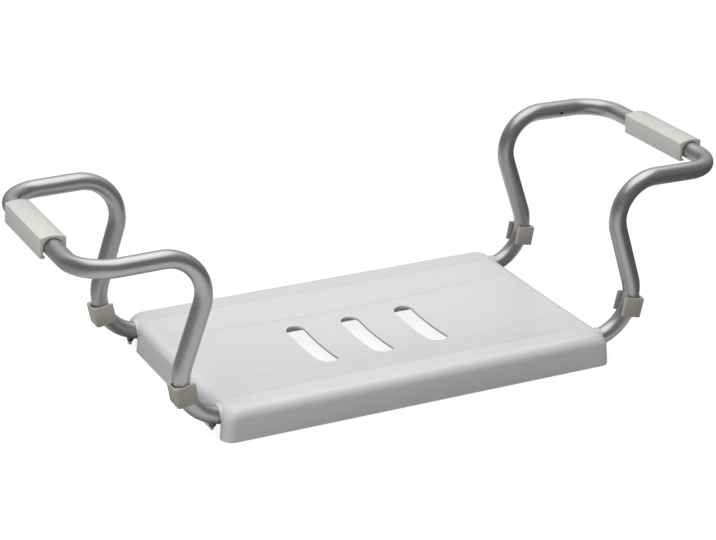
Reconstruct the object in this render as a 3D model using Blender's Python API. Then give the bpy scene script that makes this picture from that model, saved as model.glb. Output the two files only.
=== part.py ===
"""Bath seat: a moulded board hung between two bent tube hoops that rest on the rims of a bath.

The seat's long side runs along X, the user faces -Y and Z is up. The origin is the centre of the
board, on the plane of the skirt's lower edge. Each hoop slides in and out along X in saddles
moulded under the board, and a hand knob clamps each of its legs.
"""

import math

import bmesh
import bpy
from mathutils import Matrix, Vector

MM = 0.001

# Fits
GAP = 0.3 * MM  # between pieces that touch
LAP = 1 * MM  # how far solids that are joined, or cut away, reach past each other
WELD = 0.0001 * MM  # points of a mesh that lie closer than this are one

# Seat board
SEAT_LENGTH = 420 * MM
SEAT_DEPTH = 262 * MM
SEAT_HEIGHT = 32 * MM
SEAT_WALL = 3 * MM
SEAT_DRAFT = 1 * MM  # the walls lean in by this much from the skirt to the top
SEAT_CORNER = 17.5 * MM
SEAT_EDGE = 11 * MM  # rounding of the top edge
BORDER_WIDTH = 31.6 * MM  # from the skirt to the dish, front and rear
DISH_DROP = 14.3 * MM  # how far the middle of the seat lies below its front and rear strips
DISH_COLUMNS = 10
DISH_ROWS = 8
CORNER_STEPS = 4
EDGE_STEPS = 3

# Drain slots
SLOT_COUNT = 3
SLOT_PITCH = 61.5 * MM
SLOT_WIDTH = 20.3 * MM
SLOT_LENGTH = 89 * MM
SLOT_END_STEPS = 8

# Hoop tube
TUBE_RADIUS = 9 * MM
TUBE_WALL = 1.2 * MM
LEG_COVER = 0.9 * MM  # between a leg and the board over it
LEG_INSET = 24.3 * MM  # from the skirt to the middle of a leg
BEND_INSET = 10.5 * MM  # from the end of the board to where a leg starts to rise
BEND_1_RADIUS = 45.4 * MM
BEND_2_RADIUS = 39.9 * MM
CORNER_RADIUS = 36.9 * MM
UPRIGHT_LENGTH = 58.4 * MM
SHOULDER_LENGTH = 40.4 * MM
UPRIGHT_TURN = math.radians(108.4)  # from the leg to the upright, which leans in over the seat
SHOULDER_DIP = math.radians(0.7)  # of the shoulders, towards the crossbar
SPLAY = math.radians(1.5)  # the bends lie in a plane tilted outwards
BEND_STEPS = 9
CORNER_BEND_STEPS = 8
TUBE_BEVEL_STEPS = 5  # fourteen sides
BORE_BEVEL_STEPS = 3  # ten sides
HOOP_TRAVEL = 40 * MM
VENT_RADIUS = 1.6 * MM
VENT_INSET = 17.4 * MM  # from the corner bend
VENT_DROP = math.radians(14)  # below level, on the side that faces the other shoulder
VENT_SIDES = 8

# Saddles that hold the legs under the board, with two straps for each leg
ARCH_CLEARANCE = 0.75 * MM  # round the leg, in the end wall
ARCH_LIFT = 0.2 * MM
RIB_THICKNESS = 3 * MM
LONG_RIB_CLEARANCE = 1.7 * MM  # between a leg and the long rib
CROSS_RIB_LIFT = 8 * MM  # from the skirt's lower edge
CROSS_RIB_INSET = 102 * MM  # from the end of the board
GUIDE_INSET = 15 * MM  # from the end of the board to the middle of the guide strap
STRAP_PITCH = 45 * MM  # from the guide strap to the clamp strap
STRAP_WIDTH = 16 * MM
STRAP_THICKNESS = 2 * MM
STRAP_CORNER = 4 * MM
STRAP_CORNER_STEPS = 2
STRAP_OUTER_MARGIN = 3.6 * MM  # beyond the middle of the outer screws
STRAP_INNER_MARGIN = 5 * MM  # beyond the middle of the inner screws
STOP_GAP = 1 * MM  # left between the end plug's lug and the clamp strap at full travel

# Strap screws
SCREW_HEAD_RADIUS = 3.2 * MM
SCREW_TOP_RADIUS = 2.4 * MM  # of the flat on the head
SCREW_HEAD_HEIGHT = 2.2 * MM
SCREW_SHANK_RADIUS = 1.9 * MM
SCREW_LENGTH = 13 * MM
SCREW_RECESS_DEPTH = 1.2 * MM
SCREW_RECESS_WIDTH = 0.9 * MM
SCREW_EDGE = 2.7 * MM  # of plastic between an outer screw and the leg
SCREW_LAND = 1.8 * MM  # between an inner screw and the long rib
SCREW_BOSS = 4.6 * MM  # half width of the block round a screw
SCREW_SIDES = 10

# Clamp knob, its stud and the insert that it screws into
KNOB_RADIUS = 11.5 * MM
KNOB_LOBE = 1 * MM
KNOB_LOBES = 6
KNOB_POINTS = 36
KNOB_LIFT = 1 * MM  # above the plane that the skirt stands on
KNOB_GRIP_HEIGHT = 4.5 * MM
KNOB_HUB_RADIUS = 7 * MM
KNOB_FLOOR = 2 * MM  # of plastic under the stud
STUD_RADIUS = 3 * MM
STUD_CHAMFER = 0.75 * MM
STUD_PROUD = 1.9 * MM  # above the insert
INSERT_WALL = 0.9 * MM
INSERT_LENGTH = 9 * MM
INSERT_SIDES = 16
CLAMP_BOSS_WALL = 2 * MM
CLAMP_BOSS_CLEARANCE = 7.2 * MM  # between the boss and the leg

# Plug in the inner end of each leg
PLUG_HEAD = 3 * MM
PLUG_CLEARANCE = 0.8 * MM  # between the spigot and the bore
PLUG_SPIGOT_LENGTH = 12 * MM
PLUG_LUG_WIDTH = 8 * MM
PLUG_LUG_DROP = 2.1 * MM  # below the tube, so that the lug stops on the clamp strap
PLUG_SIDES = 16

# Snap buttons and their leaf springs
BUTTON_X = 14 * MM  # beyond the start of the bend, measured at the outside of the tube
BUTTON_RADIUS = 3.5 * MM
BUTTON_STAND = 4.5 * MM
BUTTON_DOME = 2.6 * MM
BUTTON_RIM = 0.9 * MM  # the flange is this much wider than the button
BUTTON_FLANGE = 0.8 * MM
BUTTON_CLEARANCE = 2.1 * MM  # from the inside of the tube's wall to the flange
BUTTON_SIDES = 12
SPRING_WIDTH = 7 * MM
SPRING_THICKNESS = 0.6 * MM
SPRING_UPPER_CLEARANCE = 1.5 * MM  # between the upper arm and the bore
SPRING_TURN_REACH = 23.5 * MM  # from the turn to the start of the bend
SPRING_UPPER_LENGTH = 20 * MM
SPRING_OVERRUN = math.radians(5)  # past the button
SPRING_TURN_STEPS = 8
SPRING_BEND_STEPS = 4

# Bumper clips on the lower bends
CLIP_ANGLE = math.radians(73)  # along the bend from the leg
CLIP_SLIPPED = "left_rear"  # this clip has slid down its bend, as photographed
CLIP_SLIPPED_ANGLE = math.radians(66.2)
CLIP_SLIPPED_OUTSET = 1.5 * MM
CLIP_TILT = math.radians(10.5)
CLIP_GRASP = 8.5 * MM  # how far the jaws reach past the middle of the tube
CLIP_BITE = 0.6 * MM  # each jaw is this much thicker than the wall beside the bore
CLIP_PAD = 2.1 * MM  # thickness of the outer wall
CLIP_WALL = 2.5 * MM
CLIP_HEIGHT = 20 * MM
CLIP_ROUNDING = 3 * MM
CLIP_ROUNDING_STEPS = 3
CLIP_BORE_SIDES = 16

# Grips on the crossbars
GRIP_LENGTH = 102 * MM
GRIP_WALL = 3.5 * MM
GRIP_SHOULDER = 0.5 * MM  # the side walls end this far above the top of the bar
GRIP_CROWN = 2.5 * MM  # rise of the arched top above the side walls
GRIP_DROP = 0.8 * MM  # the lips end this far below the bar
GRIP_LIP_HEIGHT = 1.9 * MM
GRIP_LIP = 1.7 * MM  # how far a lip reaches in under the bar
GRIP_CROWN_STEPS = 8
GRIP_BORE_STEPS = 12
GRIP_OFFSET = {"left": 9.5 * MM, "right": -8.5 * MM}
GRIP_LEAN = {"left": math.radians(3.4), "right": math.radians(1.3)}  # top leans towards the seat

SIDES = {"left": -1, "right": 1}
ENDS = {"front": -1, "rear": 1}
ROUND_SIDES = 24

# Places and sizes that follow from those above
BORDER_Y = SEAT_DEPTH / 2 - BORDER_WIDTH
LEG_Y = SEAT_DEPTH / 2 - LEG_INSET
LEG_Z = SEAT_HEIGHT - SEAT_WALL - LEG_COVER - TUBE_RADIUS
BORE_RADIUS = TUBE_RADIUS - TUBE_WALL
BEND_X = SEAT_LENGTH / 2 - BEND_INSET
GUIDE_X = SEAT_LENGTH / 2 - GUIDE_INSET
CLAMP_X = GUIDE_X - STRAP_PITCH
LEG_END_X = CLAMP_X - STRAP_WIDTH / 2 - STOP_GAP - HOOP_TRAVEL + GAP
SHOULDER_TURN = UPRIGHT_TURN + SHOULDER_DIP
CROSS_RIB_X = SEAT_LENGTH / 2 - CROSS_RIB_INSET
STRAP_TOP_Z = LEG_Z - TUBE_RADIUS - GAP
STRAP_BOTTOM_Z = STRAP_TOP_Z - STRAP_THICKNESS
RIB_BOTTOM_Z = STRAP_TOP_Z + GAP
ARCH_RADIUS = TUBE_RADIUS + ARCH_CLEARANCE
ARCH_START_X = GUIDE_X - STRAP_WIDTH / 2 + RIB_THICKNESS / 2
LONG_RIB_Y = LEG_Y - TUBE_RADIUS - LONG_RIB_CLEARANCE - RIB_THICKNESS / 2
SCREW_HOLE_RADIUS = SCREW_SHANK_RADIUS + GAP
SCREW_OUTER_Y = LEG_Y + TUBE_RADIUS + GAP + SCREW_EDGE + SCREW_HOLE_RADIUS
SCREW_INNER_Y = LONG_RIB_Y - RIB_THICKNESS / 2 - SCREW_LAND - SCREW_HOLE_RADIUS
STRAP_OUTER_Y = SCREW_OUTER_Y + STRAP_OUTER_MARGIN
GUIDE_STRAP_INNER_Y = SCREW_INNER_Y - STRAP_INNER_MARGIN
STUD_HOLE_RADIUS = STUD_RADIUS + GAP
INSERT_RADIUS = STUD_HOLE_RADIUS + INSERT_WALL
CLAMP_BOSS_RADIUS = INSERT_RADIUS + GAP + CLAMP_BOSS_WALL
KNOB_Y = LEG_Y - TUBE_RADIUS - CLAMP_BOSS_CLEARANCE - CLAMP_BOSS_RADIUS
CLAMP_STRAP_INNER_Y = KNOB_Y - STRAP_WIDTH / 2
STUD_BOTTOM_Z = KNOB_LIFT + KNOB_FLOOR + GAP
STUD_TOP_Z = RIB_BOTTOM_Z + INSERT_LENGTH + STUD_PROUD


def clear_scene():
    for obj in list(bpy.data.objects):
        bpy.data.objects.remove(obj, do_unlink=True)


def make_material(name, color, roughness, metallic=0.0):
    material = bpy.data.materials.new(name)
    material.use_nodes = True
    shader = material.node_tree.nodes["Principled BSDF"]
    shader.inputs["Base Color"].default_value = (*color, 1)
    shader.inputs["Roughness"].default_value = roughness
    shader.inputs["Metallic"].default_value = metallic
    return material


def weld(bm):
    """Merges points that lie on each other, and so drops the slivers between them."""
    bmesh.ops.remove_doubles(bm, verts=bm.verts, dist=WELD)


def finish_object(name, bm, material=None):
    """Makes an object of the mesh, with its faces turned outwards."""
    weld(bm)
    bmesh.ops.recalc_face_normals(bm, faces=bm.faces)
    mesh = bpy.data.meshes.new(name)
    bm.to_mesh(mesh)
    bm.free()
    obj = bpy.data.objects.new(name, mesh)
    bpy.context.scene.collection.objects.link(obj)
    if material:
        mesh.materials.append(material)
    return obj


def shade_round(obj, angle=math.radians(35)):
    obj.data.shade_smooth()
    obj.data.set_sharp_from_angle(angle=angle)


def apply_modifiers(obj):
    """Turns the object into the mesh that its modifiers make."""
    graph = bpy.context.evaluated_depsgraph_get()
    mesh = bpy.data.meshes.new_from_object(obj.evaluated_get(graph))
    obj.modifiers.clear()
    obj.data = mesh


def combine(obj, other, operation):
    """Joins, cuts or intersects the object with another, which is then removed."""
    modifier = obj.modifiers.new(operation.lower(), "BOOLEAN")
    modifier.operation = operation
    modifier.object = other
    apply_modifiers(obj)
    bpy.data.objects.remove(other, do_unlink=True)


def weld_cuts(obj):
    """Welds the object where cuts ran along each other."""
    bm = bmesh.new()
    bm.from_mesh(obj.data)
    weld(bm)
    bm.to_mesh(obj.data)
    bm.free()


def box(name, low, high, material=None):
    bm = bmesh.new()
    bmesh.ops.create_cube(bm, size=1)
    low, high = Vector(low), Vector(high)
    for vert in bm.verts:
        vert.co = Vector(low[i] if vert.co[i] < 0 else high[i] for i in range(3))
    return finish_object(name, bm, material)


def mirrored_box(name, side, end, x_range, y_range, z_range):
    """A box given for the +X, +Y quarter, placed in the quarter of this side and end."""
    xs = sorted(side * x for x in x_range)
    ys = sorted(end * y for y in y_range)
    return box(name, (xs[0], ys[0], z_range[0]), (xs[1], ys[1], z_range[1]))


def prism(name, outline, low, high, axis="Z", material=None):
    """Extrudes a closed outline of 2-D points along an axis, from low to high."""
    order = {"X": lambda p, t: (t, p[0], p[1]), "Y": lambda p, t: (p[0], t, p[1])}
    place = order.get(axis, lambda p, t: (p[0], p[1], t))
    bm = bmesh.new()
    face = bm.faces.new([bm.verts.new(place(point, low)) for point in outline])
    moved = bmesh.ops.extrude_face_region(bm, geom=[face])["geom"]
    shift = Vector(place((0, 0), high - low))
    bmesh.ops.translate(bm, vec=shift, verts=[v for v in moved if isinstance(v, bmesh.types.BMVert)])
    return finish_object(name, bm, material)


def circle(radius, count, center=(0, 0), start=0.0, sweep=2 * math.pi):
    """Points round an arc. A whole circle leaves out its repeated last point."""
    last = count if sweep < 2 * math.pi else count - 1
    steps = [start + sweep * i / count for i in range(last + 1)]
    return [(center[0] + radius * math.cos(a), center[1] + radius * math.sin(a)) for a in steps]


def upright_cylinder(name, radius, center, low, high, sides=ROUND_SIDES, material=None):
    return prism(name, circle(radius, sides, center), low, high, material=material)


def turned(name, profile, sides, material=None):
    """A solid turned about Z from (radius, height) points, which start and end on the axis."""
    bm = bmesh.new()
    rings = []
    for radius, height in profile:
        if radius == 0:
            rings.append([bm.verts.new((0, 0, height))])
        else:
            rings.append([bm.verts.new((x, y, height)) for x, y in circle(radius, sides)])
    for lower, upper in zip(rings, rings[1:]):
        for i in range(sides):
            j = (i + 1) % sides
            corners = [lower[i % len(lower)], lower[j % len(lower)]]
            corners += [upper[j % len(upper)], upper[i % len(upper)]]
            bm.faces.new(list(dict.fromkeys(corners)))
    return finish_object(name, bm, material)


def frame_matrix(origin, z_axis, y_axis):
    """A matrix whose Z follows z_axis and whose Y lies nearest to y_axis."""
    z_axis = z_axis.normalized()
    x_axis = y_axis.cross(z_axis).normalized()
    y_axis = z_axis.cross(x_axis)
    return Matrix.Translation(origin) @ Matrix((x_axis, y_axis, z_axis)).transposed().to_4x4()


def bake_place(obj, matrix):
    obj.data.transform(matrix)
    return obj


# Seat board


def dish_depth(x, y):
    """How far the seat's top lies below its front and rear strips."""
    along = 1 - (2 * x / SEAT_LENGTH) ** 2
    across = 1 - (y / BORDER_Y) ** 2
    return DISH_DROP * max(0, along) * max(0, across)


def upright_edges(bm):
    return [edge for edge in bm.edges if abs(edge.verts[0].co.z - edge.verts[1].co.z) > LAP]


def bevel(bm, edges, offset, segments):
    bmesh.ops.bevel(
        bm, geom=edges, offset=offset, segments=segments, profile=0.5, affect="EDGES", clamp_overlap=True
    )


def dished_block(name, inset, bottom=0.0, material=None):
    """The board's outside, or a smaller copy of it with every wall moved inwards by the inset."""
    top = SEAT_HEIGHT - inset
    bm = bmesh.new()
    bmesh.ops.create_cube(bm, size=1)
    for vert in bm.verts:
        lean = SEAT_DRAFT if vert.co.z > 0 else SEAT_DRAFT * bottom / SEAT_HEIGHT
        half_x = SEAT_LENGTH / 2 - inset - lean
        half_y = SEAT_DEPTH / 2 - inset - lean
        x = math.copysign(half_x, vert.co.x)
        y = math.copysign(half_y, vert.co.y)
        vert.co = Vector((x, y, top if vert.co.z > 0 else bottom))
    bevel(bm, upright_edges(bm), SEAT_CORNER - inset, CORNER_STEPS)
    for column in range(1, DISH_COLUMNS):
        x = SEAT_LENGTH * (column / DISH_COLUMNS - 0.5)
        cut_all(bm, (x, 0, 0), (1, 0, 0))
    for row in range(DISH_ROWS + 1):
        y = BORDER_Y * (2 * row / DISH_ROWS - 1)
        cut_all(bm, (0, y, 0), (0, 1, 0))
    rim = [e for e in bm.edges if is_rim(e, top)]
    bevel(bm, rim, SEAT_EDGE - inset, EDGE_STEPS)
    for vert in bm.verts:
        if vert.co.z > top - SEAT_EDGE:
            vert.co.z -= dish_depth(vert.co.x, vert.co.y)
    bmesh.ops.triangulate(bm, faces=bm.faces)
    return finish_object(name, bm, material)


def cut_all(bm, point, normal):
    geometry = list(bm.verts) + list(bm.edges) + list(bm.faces)
    bmesh.ops.bisect_plane(bm, geom=geometry, plane_co=point, plane_no=normal)


def is_rim(edge, top):
    """True for an edge between the flat top and a side wall."""
    if any(abs(vert.co.z - top) > 1e-6 for vert in edge.verts):
        return False
    upward = [face.normal.z > 0.9 for face in edge.link_faces]
    return sorted(upward) == [False, True]


def leg_channel(name, side, end, radius, center_z, x_range):
    """Cutter for the space a leg runs in: round above, open below."""
    arch = circle(radius, ROUND_SIDES // 2, (end * LEG_Y, center_z), 0, math.pi)
    outline = arch + [(end * LEG_Y - radius, -SEAT_WALL), (end * LEG_Y + radius, -SEAT_WALL)]
    xs = sorted(side * x for x in x_range)
    return prism(name, outline, xs[0], xs[1], axis="X")


def saddle_pieces(side, end):
    """Ribs and bosses that hold one leg, overlapping each other and the board."""
    half_strap = STRAP_WIDTH / 2
    height = (RIB_BOTTOM_Z, SEAT_HEIGHT)
    skirt_y = SEAT_DEPTH / 2
    outer_y = (SCREW_OUTER_Y - SCREW_BOSS, skirt_y)
    inner_y = (GUIDE_STRAP_INNER_Y + LAP / 2, LONG_RIB_Y + RIB_THICKNESS / 2 - LAP)
    pieces = []
    for offset in (-half_strap, half_strap - RIB_THICKNESS):
        rib_x = (CLAMP_X + offset, CLAMP_X + offset + RIB_THICKNESS)
        pieces.append(mirrored_box("clamp_rib", side, end, rib_x, (KNOB_Y, skirt_y), height))
    block_x = (CLAMP_X - half_strap + LAP, CLAMP_X + half_strap - LAP)
    pieces.append(mirrored_box("clamp_block", side, end, block_x, outer_y, height))
    center = (side * CLAMP_X, end * KNOB_Y)
    pieces.append(upright_cylinder("clamp_boss", CLAMP_BOSS_RADIUS, center, *height))
    rib_x = (GUIDE_X - half_strap, GUIDE_X - half_strap + RIB_THICKNESS)
    pieces.append(mirrored_box("guide_rib", side, end, rib_x, (GUIDE_STRAP_INNER_Y, skirt_y), height))
    block_x = (GUIDE_X - half_strap + LAP, SEAT_LENGTH / 2)
    pieces.append(mirrored_box("guide_outer", side, end, block_x, outer_y, height))
    pieces.append(mirrored_box("guide_inner", side, end, block_x, inner_y, height))
    return pieces


def board_ribs():
    """All ribs and bosses under the board as one solid, trimmed to the middle of its wall."""
    half_rib = RIB_THICKNESS / 2
    end_x = SEAT_LENGTH / 2
    long_ribs = []
    for y in (-LONG_RIB_Y, LONG_RIB_Y):
        low = (-end_x, y - half_rib, RIB_BOTTOM_Z)
        long_ribs.append(box("long_rib", low, (end_x, y + half_rib, SEAT_HEIGHT)))
    ribs, rear_rib = long_ribs
    pieces = []
    for x in (-CROSS_RIB_X, CROSS_RIB_X):
        low = (x - half_rib, -LONG_RIB_Y, CROSS_RIB_LIFT)
        pieces.append(box("cross_rib", low, (x + half_rib, LONG_RIB_Y, SEAT_HEIGHT)))
    pieces.append(rear_rib)
    for side in SIDES.values():
        for end in ENDS.values():
            pieces += saddle_pieces(side, end)
    for piece in pieces:
        combine(ribs, piece, "UNION")
    for side in SIDES.values():
        for end in ENDS.values():
            cut_saddle(ribs, side, end)
    combine(ribs, dished_block("rib_trim", SEAT_WALL / 2, bottom=-LAP), "INTERSECT")
    return ribs


def cut_saddle(ribs, side, end):
    """Cuts the leg's channel and the holes for its fasteners."""
    below = -SEAT_WALL
    channel_x = (CLAMP_X - STRAP_WIDTH, ARCH_START_X + LAP)
    channel = leg_channel("channel", side, end, TUBE_RADIUS + GAP, LEG_Z, channel_x)
    combine(ribs, channel, "DIFFERENCE")
    hole_top = STRAP_BOTTOM_Z + SCREW_LENGTH + 2 * GAP
    for _, x, y in strap_screws():
        center = (side * x, end * y)
        hole = upright_cylinder("hole", SCREW_HOLE_RADIUS, center, below, hole_top, SCREW_SIDES)
        combine(ribs, hole, "DIFFERENCE")
    center = (side * CLAMP_X, end * KNOB_Y)
    radius = INSERT_RADIUS + GAP
    hole = upright_cylinder("hole", radius, center, below, STUD_TOP_Z + LAP, INSERT_SIDES)
    combine(ribs, hole, "DIFFERENCE")


def arch_cutter(side, end):
    """The opening that a leg leaves the board through, in the end wall and the saddle beside it."""
    arch_x = (ARCH_START_X, SEAT_LENGTH / 2 + SEAT_WALL)
    return leg_channel("arch", side, end, ARCH_RADIUS, LEG_Z + ARCH_LIFT, arch_x)


def strap_screws():
    """(name, x, y) of each screw for one leg, in the +X, +Y quarter."""
    return [
        ("clamp_screw", CLAMP_X, SCREW_OUTER_Y),
        ("guide_outer_screw", GUIDE_X, SCREW_OUTER_Y),
        ("guide_inner_screw", GUIDE_X, SCREW_INNER_Y),
    ]


def seat_shell(material):
    shell = dished_block("seat_shell", 0, material=material)
    combine(shell, dished_block("seat_core", SEAT_WALL, bottom=-2 * SEAT_WALL), "DIFFERENCE")
    combine(shell, board_ribs(), "UNION")
    for side in SIDES.values():
        for end in ENDS.values():
            combine(shell, arch_cutter(side, end), "DIFFERENCE")
    for index in range(SLOT_COUNT):
        x = SLOT_PITCH * (index - (SLOT_COUNT - 1) / 2)
        combine(shell, slot_cutter(x), "DIFFERENCE")
    weld_cuts(shell)
    shade_round(shell)
    return shell


def slot_cutter(x):
    radius = SLOT_WIDTH / 2
    straight = SLOT_LENGTH / 2 - radius
    outline = circle(radius, SLOT_END_STEPS, (x, straight), 0, math.pi)
    outline += circle(radius, SLOT_END_STEPS, (x, -straight), math.pi, math.pi)
    return prism("slot", outline, -SEAT_WALL, SEAT_HEIGHT + SEAT_WALL)


# Hoops


def bend_point(angle, radius):
    """(x, height) on the lower bend, at an angle from its start and a radius from its centre."""
    x = BEND_X + radius * math.sin(angle)
    return x, BEND_1_RADIUS - radius * math.cos(angle)


def splayed(side, end, x, height, sideways=0.0):
    """A point of the splayed plane that holds one leg and its bends. Height is above the leg."""
    y = LEG_Y + height * math.sin(SPLAY) + sideways * math.cos(SPLAY)
    z = LEG_Z + height * math.cos(SPLAY) - sideways * math.sin(SPLAY)
    return Vector((side * x, end * y, z))


def half_hoop_path(side, end, leg_start_x=LEG_END_X):
    """Centreline of one leg, its two bends, the shoulder and the corner, up to the crossbar."""
    flat = [(leg_start_x, 0.0)]
    for step in range(BEND_STEPS + 1):
        flat.append(bend_point(UPRIGHT_TURN * step / BEND_STEPS, BEND_1_RADIUS))
    along = (math.cos(UPRIGHT_TURN), math.sin(UPRIGHT_TURN))
    normal = (math.sin(UPRIGHT_TURN), -math.cos(UPRIGHT_TURN))
    start = [flat[-1][i] + along[i] * UPRIGHT_LENGTH for i in range(2)]
    center = [start[i] + normal[i] * BEND_2_RADIUS for i in range(2)]
    for step in range(BEND_STEPS + 1):
        angle = SHOULDER_TURN * step / BEND_STEPS
        flat.append(
            tuple(
                center[i] + BEND_2_RADIUS * (along[i] * math.sin(angle) - normal[i] * math.cos(angle))
                for i in range(2)
            )
        )
    path = [splayed(side, end, x, height) for x, height in flat]
    corner = path[-1] + shoulder_direction(side) * SHOULDER_LENGTH
    for step in range(CORNER_BEND_STEPS + 1):
        angle = math.pi / 2 * step / CORNER_BEND_STEPS
        across = Vector((0, -end * CORNER_RADIUS * (1 - math.cos(angle)), 0))
        path.append(corner + shoulder_direction(side) * CORNER_RADIUS * math.sin(angle) + across)
    return path


def shoulder_direction(side):
    return Vector((side * math.cos(SHOULDER_DIP), 0, -math.sin(SHOULDER_DIP)))


def crossbar_center(side):
    """Where the crossbar passes over the middle of the bath seat."""
    bar = half_hoop_path(side, ENDS["rear"])[-1]
    return Vector((bar.x, 0, bar.z))


def tube_along(name, path, radius, bevel_resolution, material=None):
    """A closed round bar along the path, made from a bevelled curve."""
    curve = bpy.data.curves.new(name, "CURVE")
    curve.dimensions = "3D"
    curve.bevel_depth = radius
    curve.bevel_resolution = bevel_resolution
    curve.use_fill_caps = True
    spline = curve.splines.new("POLY")
    spline.points.add(len(path) - 1)
    for point, place in zip(spline.points, path):
        point.co = (*place, 1)
    bar = bpy.data.objects.new(name, curve)
    bpy.context.scene.collection.objects.link(bar)
    graph = bpy.context.evaluated_depsgraph_get()
    bm = bmesh.new()
    bm.from_mesh(bpy.data.meshes.new_from_object(bar.evaluated_get(graph)))
    bpy.data.objects.remove(bar, do_unlink=True)
    return finish_object(name, bm, material)


def hoop_path(side, leg_start_x=LEG_END_X):
    front = half_hoop_path(side, ENDS["front"], leg_start_x)
    rear = half_hoop_path(side, ENDS["rear"], leg_start_x)
    return front + rear[::-1]


def button_axis(side, end):
    """Outer point of the tube under a snap button, and the way the button is pressed."""
    angle = button_angle()
    x, height = bend_point(angle, BEND_1_RADIUS + TUBE_RADIUS)
    outside = splayed(side, end, x, height)
    inside = splayed(side, end, *bend_point(angle, BEND_1_RADIUS))
    return outside, (inside - outside).normalized()


def button_angle():
    return math.asin(BUTTON_X / (BEND_1_RADIUS + TUBE_RADIUS))


def hoop_tube(name, side, material):
    tube = tube_along(name, hoop_path(side), TUBE_RADIUS, TUBE_BEVEL_STEPS, material)
    bore = tube_along("bore", hoop_path(side, LEG_END_X - LAP), BORE_RADIUS, BORE_BEVEL_STEPS)
    combine(tube, bore, "DIFFERENCE")
    for end in ENDS.values():
        outside, inwards = button_axis(side, end)
        radius = BUTTON_RADIUS + GAP
        hole = upright_cylinder("hole", radius, (0, 0), -TUBE_WALL, TUBE_RADIUS, BUTTON_SIDES)
        bake_place(hole, frame_matrix(outside, inwards, Vector((0, 1, 0))))
        combine(tube, hole, "DIFFERENCE")
    corner_start = half_hoop_path(side, side)[-1 - CORNER_BEND_STEPS]
    center = corner_start - shoulder_direction(side) * VENT_INSET
    facing = Vector((0, -side * math.cos(VENT_DROP), -math.sin(VENT_DROP)))
    vent = upright_cylinder("vent", VENT_RADIUS, (0, 0), 0, 2 * TUBE_RADIUS, VENT_SIDES)
    bake_place(vent, frame_matrix(center, facing, Vector((side, 0, 0))))
    combine(tube, vent, "DIFFERENCE")
    shade_round(tube)
    return tube


def leg_end_plug(name, side, end, material):
    """Plug pushed into a leg, with a lug under it that stops the leg from being pulled out."""
    head_start = LEG_END_X - GAP - PLUG_HEAD
    plug = turned(
        name,
        [
            (0, head_start),
            (TUBE_RADIUS, head_start),
            (TUBE_RADIUS, head_start + PLUG_HEAD),
            (BORE_RADIUS - PLUG_CLEARANCE, head_start + PLUG_HEAD),
            (BORE_RADIUS - PLUG_CLEARANCE, head_start + PLUG_HEAD + PLUG_SPIGOT_LENGTH),
            (0, head_start + PLUG_HEAD + PLUG_SPIGOT_LENGTH),
        ],
        PLUG_SIDES,
        material,
    )
    leg = Vector((0, end * LEG_Y, LEG_Z))
    bake_place(plug, frame_matrix(leg, Vector((side, 0, 0)), Vector((0, 0, 1))))
    lug_z = (LEG_Z - TUBE_RADIUS - PLUG_LUG_DROP, LEG_Z - BORE_RADIUS)
    lug_x = (head_start, head_start + PLUG_HEAD)
    lug_y = (LEG_Y - PLUG_LUG_WIDTH / 2, LEG_Y + PLUG_LUG_WIDTH / 2)
    combine(plug, mirrored_box("lug", side, end, lug_x, lug_y, lug_z), "UNION")
    shade_round(plug)
    return plug


def snap_button(name, side, end, material):
    """Domed pin that stands out of the tube, with a flange inside the tube that keeps it there."""
    flange_start = TUBE_WALL + BUTTON_CLEARANCE
    flange_radius = BUTTON_RADIUS + BUTTON_RIM
    dome_base = -BUTTON_STAND + BUTTON_DOME
    profile = [(0, -BUTTON_STAND)]
    for angle in (math.radians(30), math.radians(60)):
        radius = BUTTON_RADIUS * math.sin(angle)
        profile.append((radius, dome_base - BUTTON_DOME * math.cos(angle)))
    profile += [
        (BUTTON_RADIUS, dome_base),
        (BUTTON_RADIUS, flange_start),
        (flange_radius, flange_start),
        (flange_radius, flange_start + BUTTON_FLANGE),
        (0, flange_start + BUTTON_FLANGE),
    ]
    button = turned(name, profile, BUTTON_SIDES, material)
    outside, inwards = button_axis(side, end)
    shade_round(button)
    place = frame_matrix(outside, inwards, Vector((0, 1, 0)))
    button.matrix_world = place
    return button


def spring_path():
    """(x, height) points along the middle of the leaf: arm under the button, turn and upper arm."""
    path = []
    last = button_angle() + SPRING_OVERRUN
    lower = BORE_RADIUS - BUTTON_CLEARANCE - BUTTON_FLANGE - GAP - SPRING_THICKNESS / 2
    upper = BORE_RADIUS - SPRING_UPPER_CLEARANCE - SPRING_THICKNESS / 2
    for step in range(SPRING_BEND_STEPS + 1):
        angle = last * (1 - step / SPRING_BEND_STEPS)
        path.append(bend_point(angle, BEND_1_RADIUS + lower))
    turn_radius = (lower + upper) / 2
    turn_height = (upper - lower) / 2
    turn_x = BEND_X - SPRING_TURN_REACH
    for step in range(SPRING_TURN_STEPS + 1):
        angle = -math.pi / 2 - math.pi * step / SPRING_TURN_STEPS
        x = turn_x + turn_radius * math.cos(angle)
        path.append((x, turn_height + turn_radius * math.sin(angle)))
    path.append((turn_x + SPRING_UPPER_LENGTH, upper))
    return path


def button_spring(name, side, end, material):
    """Bent leaf inside the leg that pushes the snap button out."""
    path = [Vector(point) for point in spring_path()]
    bm = bmesh.new()
    rings = []
    for index, point in enumerate(path):
        ahead = path[min(index + 1, len(path) - 1)] - path[max(index - 1, 0)]
        normal = Vector((-ahead.y, ahead.x)).normalized() * SPRING_THICKNESS / 2
        ring = []
        for lift, across in ((-1, -1), (1, -1), (1, 1), (-1, 1)):
            place = point + lift * normal
            ring.append(bm.verts.new(splayed(side, end, place.x, place.y, across * SPRING_WIDTH / 2)))
        rings.append(ring)
    for first, second in zip(rings, rings[1:]):
        for i in range(4):
            j = (i + 1) % 4
            bm.faces.new((first[i], first[j], second[j], second[i]))
    bm.faces.new(rings[0])
    bm.faces.new(rings[-1])
    spring = finish_object(name, bm, material)
    shade_round(spring)
    return spring


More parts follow.
